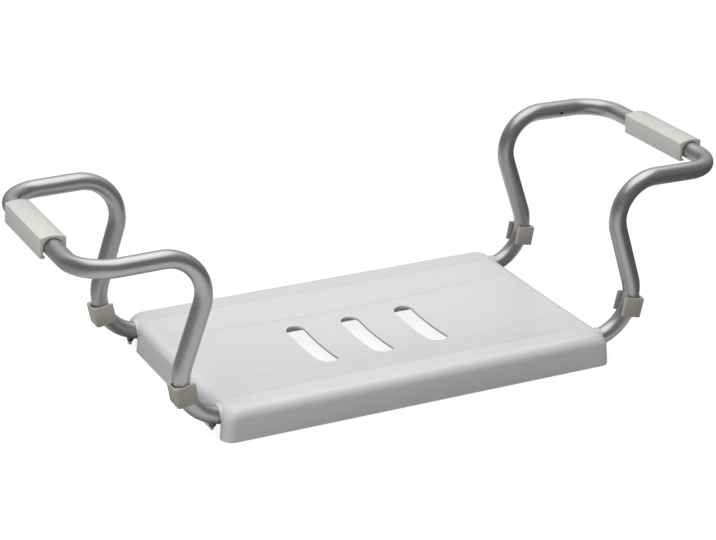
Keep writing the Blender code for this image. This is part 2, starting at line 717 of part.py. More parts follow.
def clip_place(leg, side, end):
    """Frame of a bumper clip, with X outwards and Z up along the clip."""
    slipped = leg == CLIP_SLIPPED
    x, height = bend_point(CLIP_SLIPPED_ANGLE if slipped else CLIP_ANGLE, BEND_1_RADIUS)
    up = Vector((side * math.sin(CLIP_TILT), end * math.sin(SPLAY), math.cos(CLIP_TILT)))
    outwards = Vector((side * math.cos(CLIP_TILT), 0, -math.sin(CLIP_TILT)))
    center = splayed(side, end, x, height)
    if slipped:
        center += outwards * CLIP_SLIPPED_OUTSET
    return frame_matrix(center, up, up.cross(outwards))


def bumper_clip(leg, side, end, material):
    """U-shaped pad pushed onto the lower bend, open towards the seat."""
    bm = bmesh.new()
    bmesh.ops.create_cube(bm, size=1)
    for vert in bm.verts:
        vert.co = Vector(
            (
                TUBE_RADIUS + CLIP_PAD if vert.co.x > 0 else -CLIP_GRASP,
                math.copysign(TUBE_RADIUS + CLIP_WALL, vert.co.y),
                math.copysign(CLIP_HEIGHT / 2, vert.co.z),
            )
        )
    outer_edges = [edge for edge in upright_edges(bm) if edge.verts[0].co.x > 0]
    bevel(bm, outer_edges, CLIP_ROUNDING, CLIP_ROUNDING_STEPS)
    clip = finish_object(f"{leg}_bumper_clip", bm, material)
    half_throat = TUBE_RADIUS + GAP - CLIP_BITE
    throat_low = (-2 * CLIP_GRASP, -half_throat, -CLIP_HEIGHT)
    combine(clip, box("throat", throat_low, (0, half_throat, CLIP_HEIGHT)), "DIFFERENCE")
    place = clip_place(leg, side, end)
    bake_place(clip, place)
    bent = tube_along("bent_bore", hoop_path(side), TUBE_RADIUS + GAP, TUBE_BEVEL_STEPS)
    combine(clip, bent, "DIFFERENCE")
    radius = TUBE_RADIUS + GAP
    straight = upright_cylinder("straight_bore", radius, (0, 0), -CLIP_HEIGHT, CLIP_HEIGHT, CLIP_BORE_SIDES)
    bake_place(straight, place)
    combine(clip, straight, "DIFFERENCE")
    shade_round(clip)
    return clip


def grip_outline():
    """Cross-section of a grip about the bar's axis: arched top, open at the bottom, with two lips."""
    half_width = TUBE_RADIUS + GRIP_WALL
    bottom = TUBE_RADIUS + GRIP_DROP
    mouth = TUBE_RADIUS - GRIP_LIP
    crown_radius = (half_width**2 + GRIP_CROWN**2) / (2 * GRIP_CROWN)
    crown_z = TUBE_RADIUS + GRIP_SHOULDER + GRIP_CROWN - crown_radius
    half_angle = math.asin(half_width / crown_radius)
    start = math.pi / 2 - half_angle
    outline = circle(crown_radius, GRIP_CROWN_STEPS, (0, crown_z), start, 2 * half_angle)
    bore = TUBE_RADIUS + GAP
    lip_top = GRIP_LIP_HEIGHT - bottom
    outline += [(-half_width, -bottom), (-mouth, -bottom), (-mouth, lip_top), (-bore, lip_top)]
    outline += circle(bore, GRIP_BORE_STEPS, (0, 0), math.pi, -math.pi)
    outline += [(bore, lip_top), (mouth, lip_top), (mouth, -bottom), (half_width, -bottom)]
    return outline


def bath_grip(name, side_name, material):
    side = SIDES[side_name]
    grip = prism(name, grip_outline(), -GRIP_LENGTH / 2, GRIP_LENGTH / 2, axis="Y", material=material)
    shade_round(grip)
    grip.location = crossbar_center(side) + Vector((0, GRIP_OFFSET[side_name], 0))
    grip.rotation_euler = (0, -side * GRIP_LEAN[side_name], 0)
    return grip


# Straps, screws and knobs


def strap(name, side, end, center_x, inner_y, material):
    """Flat bar under a leg, with rounded corners and a hole for each fastener."""
    bm = bmesh.new()
    bmesh.ops.create_cube(bm, size=1)
    ys = sorted((end * inner_y, end * STRAP_OUTER_Y))
    for vert in bm.verts:
        x = side * center_x + math.copysign(STRAP_WIDTH / 2, vert.co.x)
        y = ys[1] if vert.co.y > 0 else ys[0]
        vert.co = Vector((x, y, STRAP_TOP_Z if vert.co.z > 0 else STRAP_BOTTOM_Z))
    bevel(bm, upright_edges(bm), STRAP_CORNER, STRAP_CORNER_STEPS)
    bar = finish_object(name, bm, material)
    holes = [(y, SCREW_HOLE_RADIUS) for _, x, y in strap_screws() if x == center_x]
    if center_x == CLAMP_X:
        holes.append((KNOB_Y, STUD_HOLE_RADIUS))
    for y, radius in holes:
        center = (side * center_x, end * y)
        hole = upright_cylinder("hole", radius, center, 0, SEAT_HEIGHT, SCREW_SIDES)
        combine(bar, hole, "DIFFERENCE")
    return bar


def strap_screw(name, side, end, x, y, material):
    """Pan-head screw, driven upwards, with a slot across its head."""
    shank_top = SCREW_HEAD_HEIGHT + SCREW_LENGTH
    screw = turned(
        name,
        [
            (0, 0),
            (SCREW_TOP_RADIUS, 0),
            (SCREW_HEAD_RADIUS, SCREW_HEAD_HEIGHT / 2),
            (SCREW_HEAD_RADIUS, SCREW_HEAD_HEIGHT),
            (SCREW_SHANK_RADIUS, SCREW_HEAD_HEIGHT),
            (SCREW_SHANK_RADIUS, shank_top - SCREW_SHANK_RADIUS),
            (0, shank_top),
        ],
        SCREW_SIDES,
        material,
    )
    half = SCREW_RECESS_WIDTH / 2
    low = (-2 * SCREW_HEAD_RADIUS, -half, -LAP)
    recess = box("recess", low, (2 * SCREW_HEAD_RADIUS, half, SCREW_RECESS_DEPTH))
    combine(screw, recess, "DIFFERENCE")
    shade_round(screw)
    screw.location = (side * x, end * y, STRAP_BOTTOM_Z - GAP - SCREW_HEAD_HEIGHT)
    return screw


def clamp_knob(name, side, end, material):
    """Six-lobed hand knob with a hub that bears on the clamp strap."""
    outline = []
    for step in range(KNOB_POINTS):
        angle = 2 * math.pi * step / KNOB_POINTS
        radius = KNOB_RADIUS + KNOB_LOBE * math.cos(KNOB_LOBES * angle)
        outline.append((radius * math.cos(angle), radius * math.sin(angle)))
    knob = prism(name, outline, 0, KNOB_GRIP_HEIGHT, material=material)
    hub_top = STRAP_BOTTOM_Z - GAP - KNOB_LIFT
    hub = upright_cylinder("hub", KNOB_HUB_RADIUS, (0, 0), KNOB_GRIP_HEIGHT / 2, hub_top)
    combine(knob, hub, "UNION")
    hole = upright_cylinder("hole", STUD_HOLE_RADIUS, (0, 0), KNOB_FLOOR, hub_top + LAP, SCREW_SIDES)
    combine(knob, hole, "DIFFERENCE")
    shade_round(knob)
    knob.location = (side * CLAMP_X, end * KNOB_Y, KNOB_LIFT)
    return knob


def clamp_stud(name, side, end, material):
    """Threaded rod moulded into the knob."""
    length = STUD_TOP_Z - STUD_BOTTOM_Z
    profile = [(0, 0), (STUD_RADIUS, 0), (STUD_RADIUS, length - STUD_CHAMFER)]
    profile += [(STUD_RADIUS - STUD_CHAMFER, length), (0, length)]
    stud = turned(name, profile, SCREW_SIDES, material)
    shade_round(stud)
    stud.location = (side * CLAMP_X, end * KNOB_Y, STUD_BOTTOM_Z)
    return stud


def clamp_insert(name, side, end, material):
    """Threaded bush in the boss, which the stud screws into."""
    insert = upright_cylinder(name, INSERT_RADIUS, (0, 0), 0, INSERT_LENGTH, INSERT_SIDES, material)
    hole = upright_cylinder("hole", STUD_HOLE_RADIUS, (0, 0), -LAP, INSERT_LENGTH + LAP, SCREW_SIDES)
    combine(insert, hole, "DIFFERENCE")
    shade_round(insert)
    insert.location = (side * CLAMP_X, end * KNOB_Y, RIB_BOTTOM_Z)
    return insert


def main():
    clear_scene()
    board_plastic = make_material("board_plastic", (0.74, 0.75, 0.76), 0.22)
    tube_aluminium = make_material("tube_aluminium", (0.62, 0.62, 0.60), 0.34, 1.0)
    grip_plastic = make_material("grip_plastic", (0.72, 0.71, 0.68), 0.5)
    clip_plastic = make_material("clip_plastic", (0.50, 0.48, 0.46), 0.5)
    knob_plastic = make_material("knob_plastic", (0.66, 0.66, 0.65), 0.45)
    plug_plastic = make_material("plug_plastic", (0.30, 0.30, 0.30), 0.55)
    steel = make_material("stainless_steel", (0.56, 0.56, 0.55), 0.28, 1.0)
    brass = make_material("brass", (0.72, 0.55, 0.26), 0.35, 1.0)

    seat_shell(board_plastic)
    for side_name, side in SIDES.items():
        hoop_tube(f"{side_name}_hoop_tube", side, tube_aluminium)
        bath_grip(f"{side_name}_bath_grip", side_name, grip_plastic)
        for end_name, end in ENDS.items():
            leg = f"{side_name}_{end_name}"
            bumper_clip(leg, side, end, clip_plastic)
            leg_end_plug(f"{leg}_leg_end_plug", side, end, plug_plastic)
            snap_button(f"{leg}_snap_button", side, end, steel)
            button_spring(f"{leg}_button_spring", side, end, steel)
            strap(f"{leg}_clamp_strap", side, end, CLAMP_X, CLAMP_STRAP_INNER_Y, steel)
            strap(f"{leg}_guide_strap", side, end, GUIDE_X, GUIDE_STRAP_INNER_Y, steel)
            for kind, x, y in strap_screws():
                strap_screw(f"{leg}_{kind}", side, end, x, y, steel)
            clamp_knob(f"{leg}_clamp_knob", side, end, knob_plastic)
            clamp_stud(f"{leg}_clamp_stud", side, end, steel)
            clamp_insert(f"{leg}_clamp_insert", side, end, brass)


main()
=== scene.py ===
import math

import bmesh
import bpy
from mathutils import Matrix, Vector


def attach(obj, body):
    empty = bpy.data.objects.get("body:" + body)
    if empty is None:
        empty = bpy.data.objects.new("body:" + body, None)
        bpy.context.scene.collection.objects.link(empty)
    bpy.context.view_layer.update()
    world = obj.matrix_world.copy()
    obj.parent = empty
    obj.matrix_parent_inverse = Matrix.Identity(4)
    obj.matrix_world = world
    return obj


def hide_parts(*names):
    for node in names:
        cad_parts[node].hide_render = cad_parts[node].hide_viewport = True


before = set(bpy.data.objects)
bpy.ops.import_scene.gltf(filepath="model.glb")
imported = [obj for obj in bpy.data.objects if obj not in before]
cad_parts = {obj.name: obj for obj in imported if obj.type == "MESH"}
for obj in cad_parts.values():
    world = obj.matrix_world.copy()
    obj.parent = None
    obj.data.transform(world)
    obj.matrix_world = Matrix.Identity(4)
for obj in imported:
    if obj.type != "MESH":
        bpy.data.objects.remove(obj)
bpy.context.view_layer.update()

mm = 0.001
hair = 0.01 * mm    # places closer than this count as one
sides = {"left": -1, "right": 1}
ends = {"front": -1, "rear": 1}
# the model of the right rear leg's pieces is mirrored to each leg
legFlips = [Matrix.Diagonal((side, end, 1, 1)) for side in sides.values() for end in ends.values()]


# camera: the photograph's own viewing angle

cameraSettings = {
    "azimuth": -26.19,
    "elevation": 22.42,
    "roll": 0.55,
    "aim": (-26.6 * mm, 23.9 * mm, 86.6 * mm),
    "distance": 2173.7 * mm,
    "lens": 108.75,
    "shift": (0.036, -0.0016),
    "nearest": 50 * mm,
}


def placeCamera(settings):
    azimuth = math.radians(settings["azimuth"])
    elevation = math.radians(settings["elevation"])
    flat = math.cos(elevation)
    back = Vector((math.sin(azimuth) * flat, -math.cos(azimuth) * flat, math.sin(elevation)))
    place = Vector(settings["aim"]) + back * settings["distance"]
    bpy.ops.object.camera_add(location=place)
    camera = bpy.context.object
    camera.name = "camera"
    turn = (-back).to_track_quat("-Z", "Y").to_matrix().to_4x4()
    roll = Matrix.Rotation(math.radians(settings["roll"]), 4, "Z")
    camera.matrix_world = Matrix.Translation(place) @ turn @ roll
    camera.data.lens = settings["lens"]
    camera.data.shift_x, camera.data.shift_y = settings["shift"]
    camera.data.clip_start = settings["nearest"]
    bpy.context.scene.camera = camera


placeCamera(cameraSettings)
bpy.context.scene.view_settings.view_transform = "Standard"
print("camera placed")


# floor, world and lamps

studioSettings = {
    "floorSize": 12,
    "floorDrop": 0.5 * mm,
    "floorDiffuse": 0.2,
    "floorGlow": 0.9,
    "mirroredDiffuse": 0.85,    # painted reflection: the white sheet that metal mirrors in the floor
    "mirroredGlow": 0.12,
    "paintedReflectionEnds": (-0.46, -0.3, 0.28, 0.45),    # where the painted sheet fades to darker, on the left and on the right
    "paintedReflectionShades": (0.5, 1, 0.05),
    "paintedShadowSize": (0.33, 0.17),    # a painted shadow of the seat on it
    "paintedShadowEdge": (0.8, 1.15),
    "paintedShadowLevel": 0.2,
    "worldGrey": 0.3,
    "mirroredGrey": 0.25,
    "backdropFrom": (0.15, 0.65),    # how straight behind the object it has to be
    "backdropHeights": (0.2, 0.8),
    "backdrop": (0.45, 1.2),
    "lamps": [
        {
            "name": "topLamp", "place": (-0.02, 0.05, 1.9), "aim": (0.024, 0.14, 0),
            "size": 2.1, "power": 25.5, "mirrored": True,
        },
        {
            "name": "sideLamp", "place": (-1.6, -0.55, 1.05), "aim": (0, 0, 0.1),
            "size": 1.8, "power": 13, "mirrored": False,
        },
    ],
}


def addNode(tree, kind, inputs=None, **values):
    node = tree.nodes.new("ShaderNode" + kind)
    for name, value in values.items():
        setattr(node, name, value)
    for name, value in (inputs or {}).items():
        if isinstance(value, bpy.types.NodeSocket):
            tree.links.new(value, node.inputs[name])
        else:
            node.inputs[name].default_value = value
    return node


def worked(tree, operation, first, second=0):
    return addNode(tree, "Math", {0: first, 1: second}, operation=operation).outputs[0]


def times(tree, first, second):
    return worked(tree, "MULTIPLY", first, second)


def mixed(tree, factor, first, second):
    return addNode(tree, "Mix", {"Factor": factor, "A": first, "B": second}).outputs["Result"]


def fade(tree, value, span, shades):
    # goes softly from the first shade to the second as the value runs over the span
    made = addNode(tree, "MapRange", {
        "Value": value, "From Min": span[0], "From Max": span[1],
        "To Min": shades[0], "To Max": shades[1],
    }, interpolation_type="SMOOTHSTEP")
    return made.outputs["Result"]


def facingCamera(tree, place):
    # X to the camera's right, Y away from it
    turn = (0, 0, math.radians(-cameraSettings["azimuth"]))
    facing = addNode(tree, "Mapping", {"Vector": place, "Rotation": turn})
    return addNode(tree, "SeparateXYZ", {"Vector": facing.outputs["Vector"]}).outputs


def buildWorld(settings):
    # even grey, and behind the object the pale backdrop that metal mirrors
    world = bpy.data.worlds.new("studioWorld")
    bpy.context.scene.world = world
    world.use_nodes = True
    tree = world.node_tree
    place = facingCamera(tree, addNode(tree, "TexCoord").outputs["Generated"])
    behind = fade(tree, place["Y"], settings["backdropFrom"], (0, 1))
    backdrop = fade(tree, place["Z"], settings["backdropHeights"], settings["backdrop"])
    path = addNode(tree, "LightPath").outputs
    mirrored = mixed(tree, behind, settings["mirroredGrey"], backdrop)
    strength = mixed(tree, path["Is Glossy Ray"], settings["worldGrey"], mirrored)
    strength = worked(tree, "MAXIMUM", strength, path["Is Camera Ray"])
    background = tree.nodes["Background"]
    background.inputs["Color"].default_value = (1, 1, 1, 1)
    tree.links.new(strength, background.inputs["Strength"])


def studioMaterial(settings):
    # white to the camera, and in a mirror a painted white sheet as wide as a photographer's, painted
    # darker past its ends, with its real shadows and a painted shadow of the seat
    material = bpy.data.materials.new("paleFloor")
    material.use_nodes = True
    tree = material.node_tree
    tree.nodes.clear()
    place = addNode(tree, "TexCoord").outputs["Object"]
    aside = facingCamera(tree, place)["X"]
    # painted reflection: only mirrored rays see the sheet, and darker floor beyond its ends
    left = fade(tree, aside, settings["paintedReflectionEnds"][:2], settings["paintedReflectionShades"][:2])
    right = fade(tree, aside, settings["paintedReflectionEnds"][2:], settings["paintedReflectionShades"][1:])
    # painted shadow: an oval round the seat where the sheet that metal mirrors is painted darker
    scale = [1 / size for size in settings["paintedShadowSize"]] + [1]
    scaled = addNode(tree, "Mapping", {"Vector": place, "Scale": scale}).outputs["Vector"]
    reach = addNode(tree, "VectorMath", {0: scaled}, operation="LENGTH").outputs["Value"]
    under = fade(tree, reach, settings["paintedShadowEdge"], (settings["paintedShadowLevel"], 1))
    sheet = times(tree, times(tree, left, right), under)
    path = addNode(tree, "LightPath").outputs
    seen = worked(tree, "MAXIMUM", path["Is Camera Ray"], path["Is Transmission Ray"])
    strength = times(tree, seen, settings["floorGlow"])
    mirrored = times(tree, path["Is Glossy Ray"], sheet)
    strength = worked(tree, "ADD", strength, times(tree, mirrored, settings["mirroredGlow"]))
    glow = addNode(tree, "Emission", {"Color": (1, 1, 1, 1), "Strength": strength})
    white = times(tree, mirrored, settings["mirroredDiffuse"])
    shade = worked(tree, "MAXIMUM", white, settings["floorDiffuse"])
    diffuse = addNode(tree, "BsdfDiffuse", {"Color": shade})
    both = addNode(tree, "AddShader", {0: diffuse.outputs[0], 1: glow.outputs[0]})
    addNode(tree, "OutputMaterial", {"Surface": both.outputs[0]})
    return material


def buildStudio(settings):
    bpy.ops.mesh.primitive_plane_add(size=settings["floorSize"], location=(0, 0, -settings["floorDrop"]))
    floor = bpy.context.object
    floor.name = "floor"
    floor.data.materials.append(studioMaterial(settings))
    buildWorld(settings)
    for lamp in settings["lamps"]:
        bpy.ops.object.light_add(type="AREA", location=lamp["place"])
        light = bpy.context.object
        light.name = lamp["name"]
        light.data.size = lamp["size"]
        light.data.energy = lamp["power"]
        light.visible_glossy = lamp["mirrored"]
        aim = Vector(lamp["aim"]) - Vector(lamp["place"])
        light.rotation_euler = aim.to_track_quat("-Z", "Y").to_euler()


buildStudio(studioSettings)
print("studio ready")


# small helpers for working on pieces

def workOn(piece):
    if bpy.context.mode != "OBJECT":
        bpy.ops.object.mode_set(mode="OBJECT")
    bpy.ops.object.select_all(action="DESELECT")
    piece.select_set(True)
    bpy.context.view_layer.objects.active = piece


def edit(piece):
    workOn(piece)
    bpy.ops.object.mode_set(mode="EDIT")


def leaveEdit():
    bpy.ops.object.mode_set(mode="OBJECT")


def pick(piece, kind, test):
    # in edit mode: selects only the vertices or edges that pass the test
    bpy.ops.mesh.select_mode(type=kind)
    bpy.ops.mesh.select_all(action="DESELECT")
    shape = bmesh.from_edit_mesh(piece.data)
    for part in {"VERT": shape.verts, "EDGE": shape.edges}[kind]:
        if test(part):
            part.select_set(True)
    shape.select_flush_mode()
    bmesh.update_edit_mesh(piece.data)


def movePicked(piece, change):
    # in edit mode: gives every selected vertex a new place
    shape = bmesh.from_edit_mesh(piece.data)
    for vert in shape.verts:
        if vert.select:
            vert.co = change(vert.co)
    bmesh.update_edit_mesh(piece.data)


def cutAcross(piece, place, normal):
    # in edit mode: adds a line of edges where a plane crosses the piece
    bpy.ops.mesh.select_all(action="SELECT")
    bpy.ops.mesh.bisect(plane_co=place, plane_no=normal)


def applyPlace(piece):
    workOn(piece)
    bpy.ops.object.transform_apply(location=True, rotation=True, scale=True)


def modify(piece, kind, **values):
    # adds a modifier and applies it
    workOn(piece)
    modifier = piece.modifiers.new(kind.lower(), kind)
    for name, value in values.items():
        setattr(modifier, name, value)
    bpy.ops.object.modifier_apply(modifier=modifier.name)


def combine(piece, tool, operation="DIFFERENCE"):
    modify(piece, "BOOLEAN", object=tool, operation=operation)
    bpy.data.objects.remove(tool)


def facesOutwards(piece):
    edit(piece)
    bpy.ops.mesh.select_all(action="SELECT")
    bpy.ops.mesh.remove_doubles(threshold=hair / 10)
    bpy.ops.mesh.normals_make_consistent(inside=False)
    leaveEdit()


softFrom = math.radians(40)    # edges that turn by less stay sharp
smoothTo = math.radians(32)    # faces that meet at less are shaded as one


def softEdges(piece, width, segments=2):
    modify(
        piece, "BEVEL", width=width, segments=segments, limit_method="ANGLE",
        angle_limit=softFrom, use_clamp_overlap=False, miter_outer="MITER_ARC",
    )


def addBlock(name, low, high):
    center = [(a + b) / 2 for a, b in zip(low, high)]
    bpy.ops.object.select_all(action="DESELECT")
    bpy.ops.mesh.primitive_cube_add(size=1, location=center)
    block = bpy.context.object
    block.name = name
    block.scale = [b - a for a, b in zip(low, high)]
    applyPlace(block)
    return block


def addRod(name, radius, low, high, center=(0, 0), around=32):
    bpy.ops.object.select_all(action="DESELECT")
    bpy.ops.mesh.primitive_cylinder_add(
        vertices=around, radius=radius, depth=high - low, location=(*center, (low + high) / 2)
    )
    rod = bpy.context.object
    rod.name = name
    applyPlace(rod)
    return rod


def turned(name, profile, around=40):
    # a round piece about Z through pairs of radius and height, from its bottom to its top
    radius, height = profile[0]
    bpy.ops.object.select_all(action="DESELECT")
    bpy.ops.mesh.primitive_circle_add(
        vertices=around, radius=radius, location=(0, 0, height), fill_type="NGON"
    )
    piece = bpy.context.object
    piece.name = name
    applyPlace(piece)
    edit(piece)
    bpy.ops.mesh.select_all(action="SELECT")
    for nextRadius, nextHeight in profile[1:]:
        bpy.ops.mesh.extrude_region_move(
            TRANSFORM_OT_translate={"value": (0, 0, nextHeight - height)}
        )
        factor = nextRadius / radius
        bpy.ops.transform.resize(
            value=(factor, factor, 1), center_override=(0, 0, nextHeight)
        )
        radius, height = nextRadius, nextHeight
    leaveEdit()
    facesOutwards(piece)
    return piece


def placed(piece, matrix):
    piece.data.transform(matrix)
    if matrix.determinant() < 0:
        piece.data.flip_normals()
    return piece


def copied(piece, name, matrix):
    twin = piece.copy()
    twin.data = piece.data.copy()
    twin.name = name
    twin.data.name = name
    bpy.context.scene.collection.objects.link(twin)
    return placed(twin, matrix)


def layAlongX(piece, y, z):
    # lays a piece that was made upright along X, at its place across and up
    return placed(piece, framePlace(Vector((0, y, z)), Vector((1, 0, 0)), Vector((0, 1, 0))))


def framePlace(origin, zAxis, yAxis):
    zAxis = zAxis.normalized()
    xAxis = yAxis.cross(zAxis).normalized()
    turn = Matrix((xAxis, zAxis.cross(xAxis), zAxis)).transposed().to_4x4()
    return Matrix.Translation(origin) @ turn


def finishPiece(piece, body, material, slotName, *replaced):
    applyPlace(piece)
    bpy.ops.object.shade_smooth_by_angle(angle=smoothTo)
    piece.data.materials.clear()
    piece.data.materials.append(material)
    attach(piece, body)
    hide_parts(*replaced)


def forEachLeg(piece, material, slotName, nodeName, bodyName="seat", odd=None):
    # pieces are modelled for the right rear leg and copied, mirrored, to the other legs
    odd = odd or {}
    for sideName, side in sides.items():
        for endName, end in ends.items():
            leg = sideName + "_" + endName
            model = odd.get(leg, piece)
            twin = copied(model, "visual_" + leg + "_" + nodeName, Matrix.Diagonal((side, end, 1, 1)))
            body = bodyName.format(side=sideName, leg=leg)
            finishPiece(twin, body, material, slotName, leg + "_" + nodeName)
    for model in (piece, *odd.values()):
        bpy.data.objects.remove(model)


# hoops

hoopSettings = {
    "radius": 9 * mm,
    "wall": 1.2 * mm,
    "around": 48,
    "legEndX": 101.3 * mm,
    "legY": 106.7 * mm,
    "legZ": 19.1 * mm,
    "bendX": 199.5 * mm,
    "lowerRadius": 45.4 * mm,
    "upperRadius": 39.9 * mm,
    "cornerRadius": 36.9 * mm,
    "upright": 58.4 * mm,
    "shoulder": 40.4 * mm,
    "uprightTurn": math.radians(108.4),
    "shoulderTurn": math.radians(109.1),
    "splay": math.radians(1.5),
    "bendSteps": 30,
    "cornerSteps": 22,
    "flatten": 0.07,    # how much a bend squeezes the tube towards its inner side
    "easeSteps": 7,
    "ventRadius": 1.6 * mm,
    "ventInset": 17.4 * mm,
    "ventReach": 20 * mm,
    "ventDrop": math.radians(14),
}


def startTube(name, settings, radius, fill):
    start = Vector((settings["legEndX"], settings["legY"], settings["legZ"]))
    bpy.ops.object.select_all(action="DESELECT")
    bpy.ops.mesh.primitive_circle_add(
        vertices=settings["around"], radius=radius, rotation=(0, math.pi / 2, 0),
        location=start, fill_type="NGON" if fill else "NOTHING",
    )
    tube = bpy.context.object
    tube.name = name
    applyPlace(tube)
    edit(tube)
    bpy.ops.mesh.select_all(action="SELECT")
    return tube, {"at": start, "along": Vector((1, 0, 0)), "rings": 1, "bends": []}


def runStraight(pen, length):
    step = pen["along"] * length
    bpy.ops.mesh.extrude_region_move(TRANSFORM_OT_translate={"value": step})
    pen["at"] = pen["at"] + step
    pen["rings"] += 1


def runBend(pen, towards, radius, angle, steps):
    # bends the tube towards a direction that is square to the way it runs
    center = pen["at"] + towards * radius
    axis = pen["along"].cross(towards).normalized()
    bpy.ops.mesh.spin(steps=steps, angle=-angle, center=center, axis=axis)
    pen["bends"].append((pen["rings"] - 1, steps, center))
    turn = Matrix.Rotation(angle, 3, axis)
    pen["at"] = center + turn @ (pen["at"] - center)
    pen["along"] = turn @ pen["along"]
    pen["rings"] += steps


def sweepHalfHoop(name, settings, radius, fill=False):
    # the right rear leg, its bends and half of the crossbar
    tube, pen = startTube(name, settings, radius, fill)
    up = Vector((0, math.sin(settings["splay"]), math.cos(settings["splay"])))
    runStraight(pen, settings["bendX"] - settings["legEndX"])
    runBend(pen, up, settings["lowerRadius"], settings["uprightTurn"], settings["bendSteps"])
    runStraight(pen, settings["upright"])
    outwards = pen["along"].cross(Vector((1, 0, 0)).cross(up)).normalized()
    runBend(pen, outwards, settings["upperRadius"], settings["shoulderTurn"], settings["bendSteps"])
    pen["vent"] = pen["at"] + pen["along"] * (settings["shoulder"] - settings["ventInset"])
    runStraight(pen, settings["shoulder"])
    towardsMiddle = Vector((0, -1, 0))
    runBend(pen, towardsMiddle, settings["cornerRadius"], math.pi / 2, settings["cornerSteps"])
    runStraight(pen, pen["at"].y)
    leaveEdit()
    return tube, pen


def flattenBends(tube, pen, settings):
    # a bend squeezes the tube a little, more in its middle than where it starts
    around = settings["around"]
    verts = tube.data.vertices
    for first, steps, center in pen["bends"]:
        for step in range(1, steps):
            ease = min(1, step / settings["easeSteps"], (steps - step) / settings["easeSteps"])
            ease = ease * ease * (3 - 2 * ease)
            ring = verts[(first + step) * around:(first + step + 1) * around]
            middle = sum((vert.co for vert in ring), Vector()) / around
            outwards = (middle - center).normalized()
            for vert in ring:
                vert.co -= outwards * (vert.co - middle).dot(outwards) * settings["flatten"] * ease


def modelHoop(settings):
    tube, pen = sweepHalfHoop("visual_right_hoop", settings, settings["radius"])
    flattenBends(tube, pen, settings)
    modify(tube, "MIRROR", use_axis=(False, True, False), merge_threshold=hair)
    facesOutwards(tube)
    modify(tube, "SOLIDIFY", thickness=settings["wall"], offset=-1, use_even_offset=True)
    return tube, pen


def cutHoop(tube, pen, settings, button):
    for end in ends.values():
        hole = addRod("hole", button["radius"] + button["gap"], *button["hole"])
        place = Matrix.Diagonal((1, end, 1, 1)) @ buttonPlace(settings, button)
        combine(tube, placed(hole, place))
    across = Vector((0, -math.cos(settings["ventDrop"]), -math.sin(settings["ventDrop"])))
    hole = addRod("vent", settings["ventRadius"], 0, settings["ventReach"], around=20)
    combine(tube, placed(hole, framePlace(pen["vent"], across, Vector((1, 0, 0)))))


# snap buttons

buttonSettings = {
    "bendAt": 14 * mm,
    "radius": 3.5 * mm,
    "stand": 3.8 * mm,
    "dome": 3.2 * mm,
    "gap": 0.3 * mm,
    "hole": (-2 * mm, 6 * mm),
    "flangeRadius": 4.4 * mm,
    "flangeFrom": 3.3 * mm,
    "flange": 0.8 * mm,
    "domeSteps": 9,
    "domeStart": math.radians(4),    # the small flat at the tip
}


def buttonPlace(settings, button):
    # a frame on the outside of the lower bend whose Z points into the tube
    outer = settings["lowerRadius"] + settings["radius"]
    angle = math.asin(button["bendAt"] / outer)
    up = Vector((0, math.sin(settings["splay"]), math.cos(settings["splay"])))
    start = Vector((settings["bendX"], settings["legY"], settings["legZ"]))
    outwards = Vector((1, 0, 0)) * math.sin(angle) - up * math.cos(angle)
    place = start + up * settings["lowerRadius"] + outwards * outer
    return framePlace(place, -outwards, Vector((0, 1, 0)))


def modelButton(button, settings):
    profile, start = [], button["domeStart"]
    for step in range(button["domeSteps"] + 1):
        angle = start + (math.pi / 2 - start) * step / button["domeSteps"]
        sink = button["dome"] * (1 - math.cos(angle))
        profile.append((button["radius"] * math.sin(angle), sink - button["stand"]))
    profile.append((button["radius"], button["flangeFrom"]))
    profile.append((button["flangeRadius"], button["flangeFrom"]))
    profile.append((button["flangeRadius"], button["flangeFrom"] + button["flange"]))
    return placed(turned("button", profile), buttonPlace(settings, button))


# board

boardSettings = {
    "length": 420 * mm,
    "width": 262 * mm,
    "height": 32 * mm,
    "corner": 17.5 * mm,
    "footCorner": 10 * mm,
    "edge": 11 * mm,
    "edgeSteps": 10,
    "draft": 1 * mm,
    "endLean": 1 * mm,    # how much further out the ends lean than the long sides
    "wall": 2.4 * mm,
    "columns": 96,
    "rows": 64,
    "cornerCells": 8,
    "skirtSteps": 3,
    "dishDepth": 14.3 * mm,
    "borderY": 99.4 * mm,
    # place, half width and depth of each pair of grooves
    "grooves": [(99.4 * mm, 1.1 * mm, 0.2 * mm), (59.3 * mm, 1.1 * mm, 0.2 * mm)],
    "slots": (-61.5 * mm, 0, 61.5 * mm),
    "slotY": -2.5 * mm,
    "slotWidth": 20.3 * mm,
    "slotLength": 94 * mm,
    "slotTool": (-10 * mm, 50 * mm),
    "archRadius": 9.75 * mm,
    "archLift": 0.2 * mm,
    "archFromX": 188.5 * mm,
    "hoodX": (200 * mm, 209.9 * mm),
    "hoodWall": 1.2 * mm,
    "hoodRounding": 0.8 * mm,
}


def spread(value, cells, half, settings):
    # even cells turned into narrow ones at the corners and wide ones between them
    index = round((value + 1) / 2 * cells)
    corner, inner = settings["cornerCells"], settings["corner"] - settings["edge"]
    if index <= corner:
        return inner * index / corner - half
    if index >= cells - corner:
        return half - inner * (cells - index) / corner
    return (half - inner) * (2 * (index - corner) / (cells - 2 * corner) - 1)


def roundCorner(point, half, inner):
    # turns the square corner of the grid into a round one
    u, v = abs(point.x) - half[0] + inner, abs(point.y) - half[1] + inner
    if min(u, v) <= 0:
        return point
    reach = max(u, v)
    angle = math.pi / 4 * min(u, v) / reach
    u, v = (math.cos(angle), math.sin(angle)) if u >= v else (math.sin(angle), math.cos(angle))
    x = half[0] - inner + reach * u
    y = half[1] - inner + reach * v
    return Vector((math.copysign(x, point.x), math.copysign(y, point.y), point.z))


def ringPlace(point, half, inner, out, height):
    # moves a point of the rim outwards from its corner's middle and to a height
    middle = Vector([max(min(c, h - inner), inner - h) for c, h in zip(point.xy, half)])
    aside = (point.xy - middle).normalized() * (inner + out)
    return Vector((*(middle + aside), height))


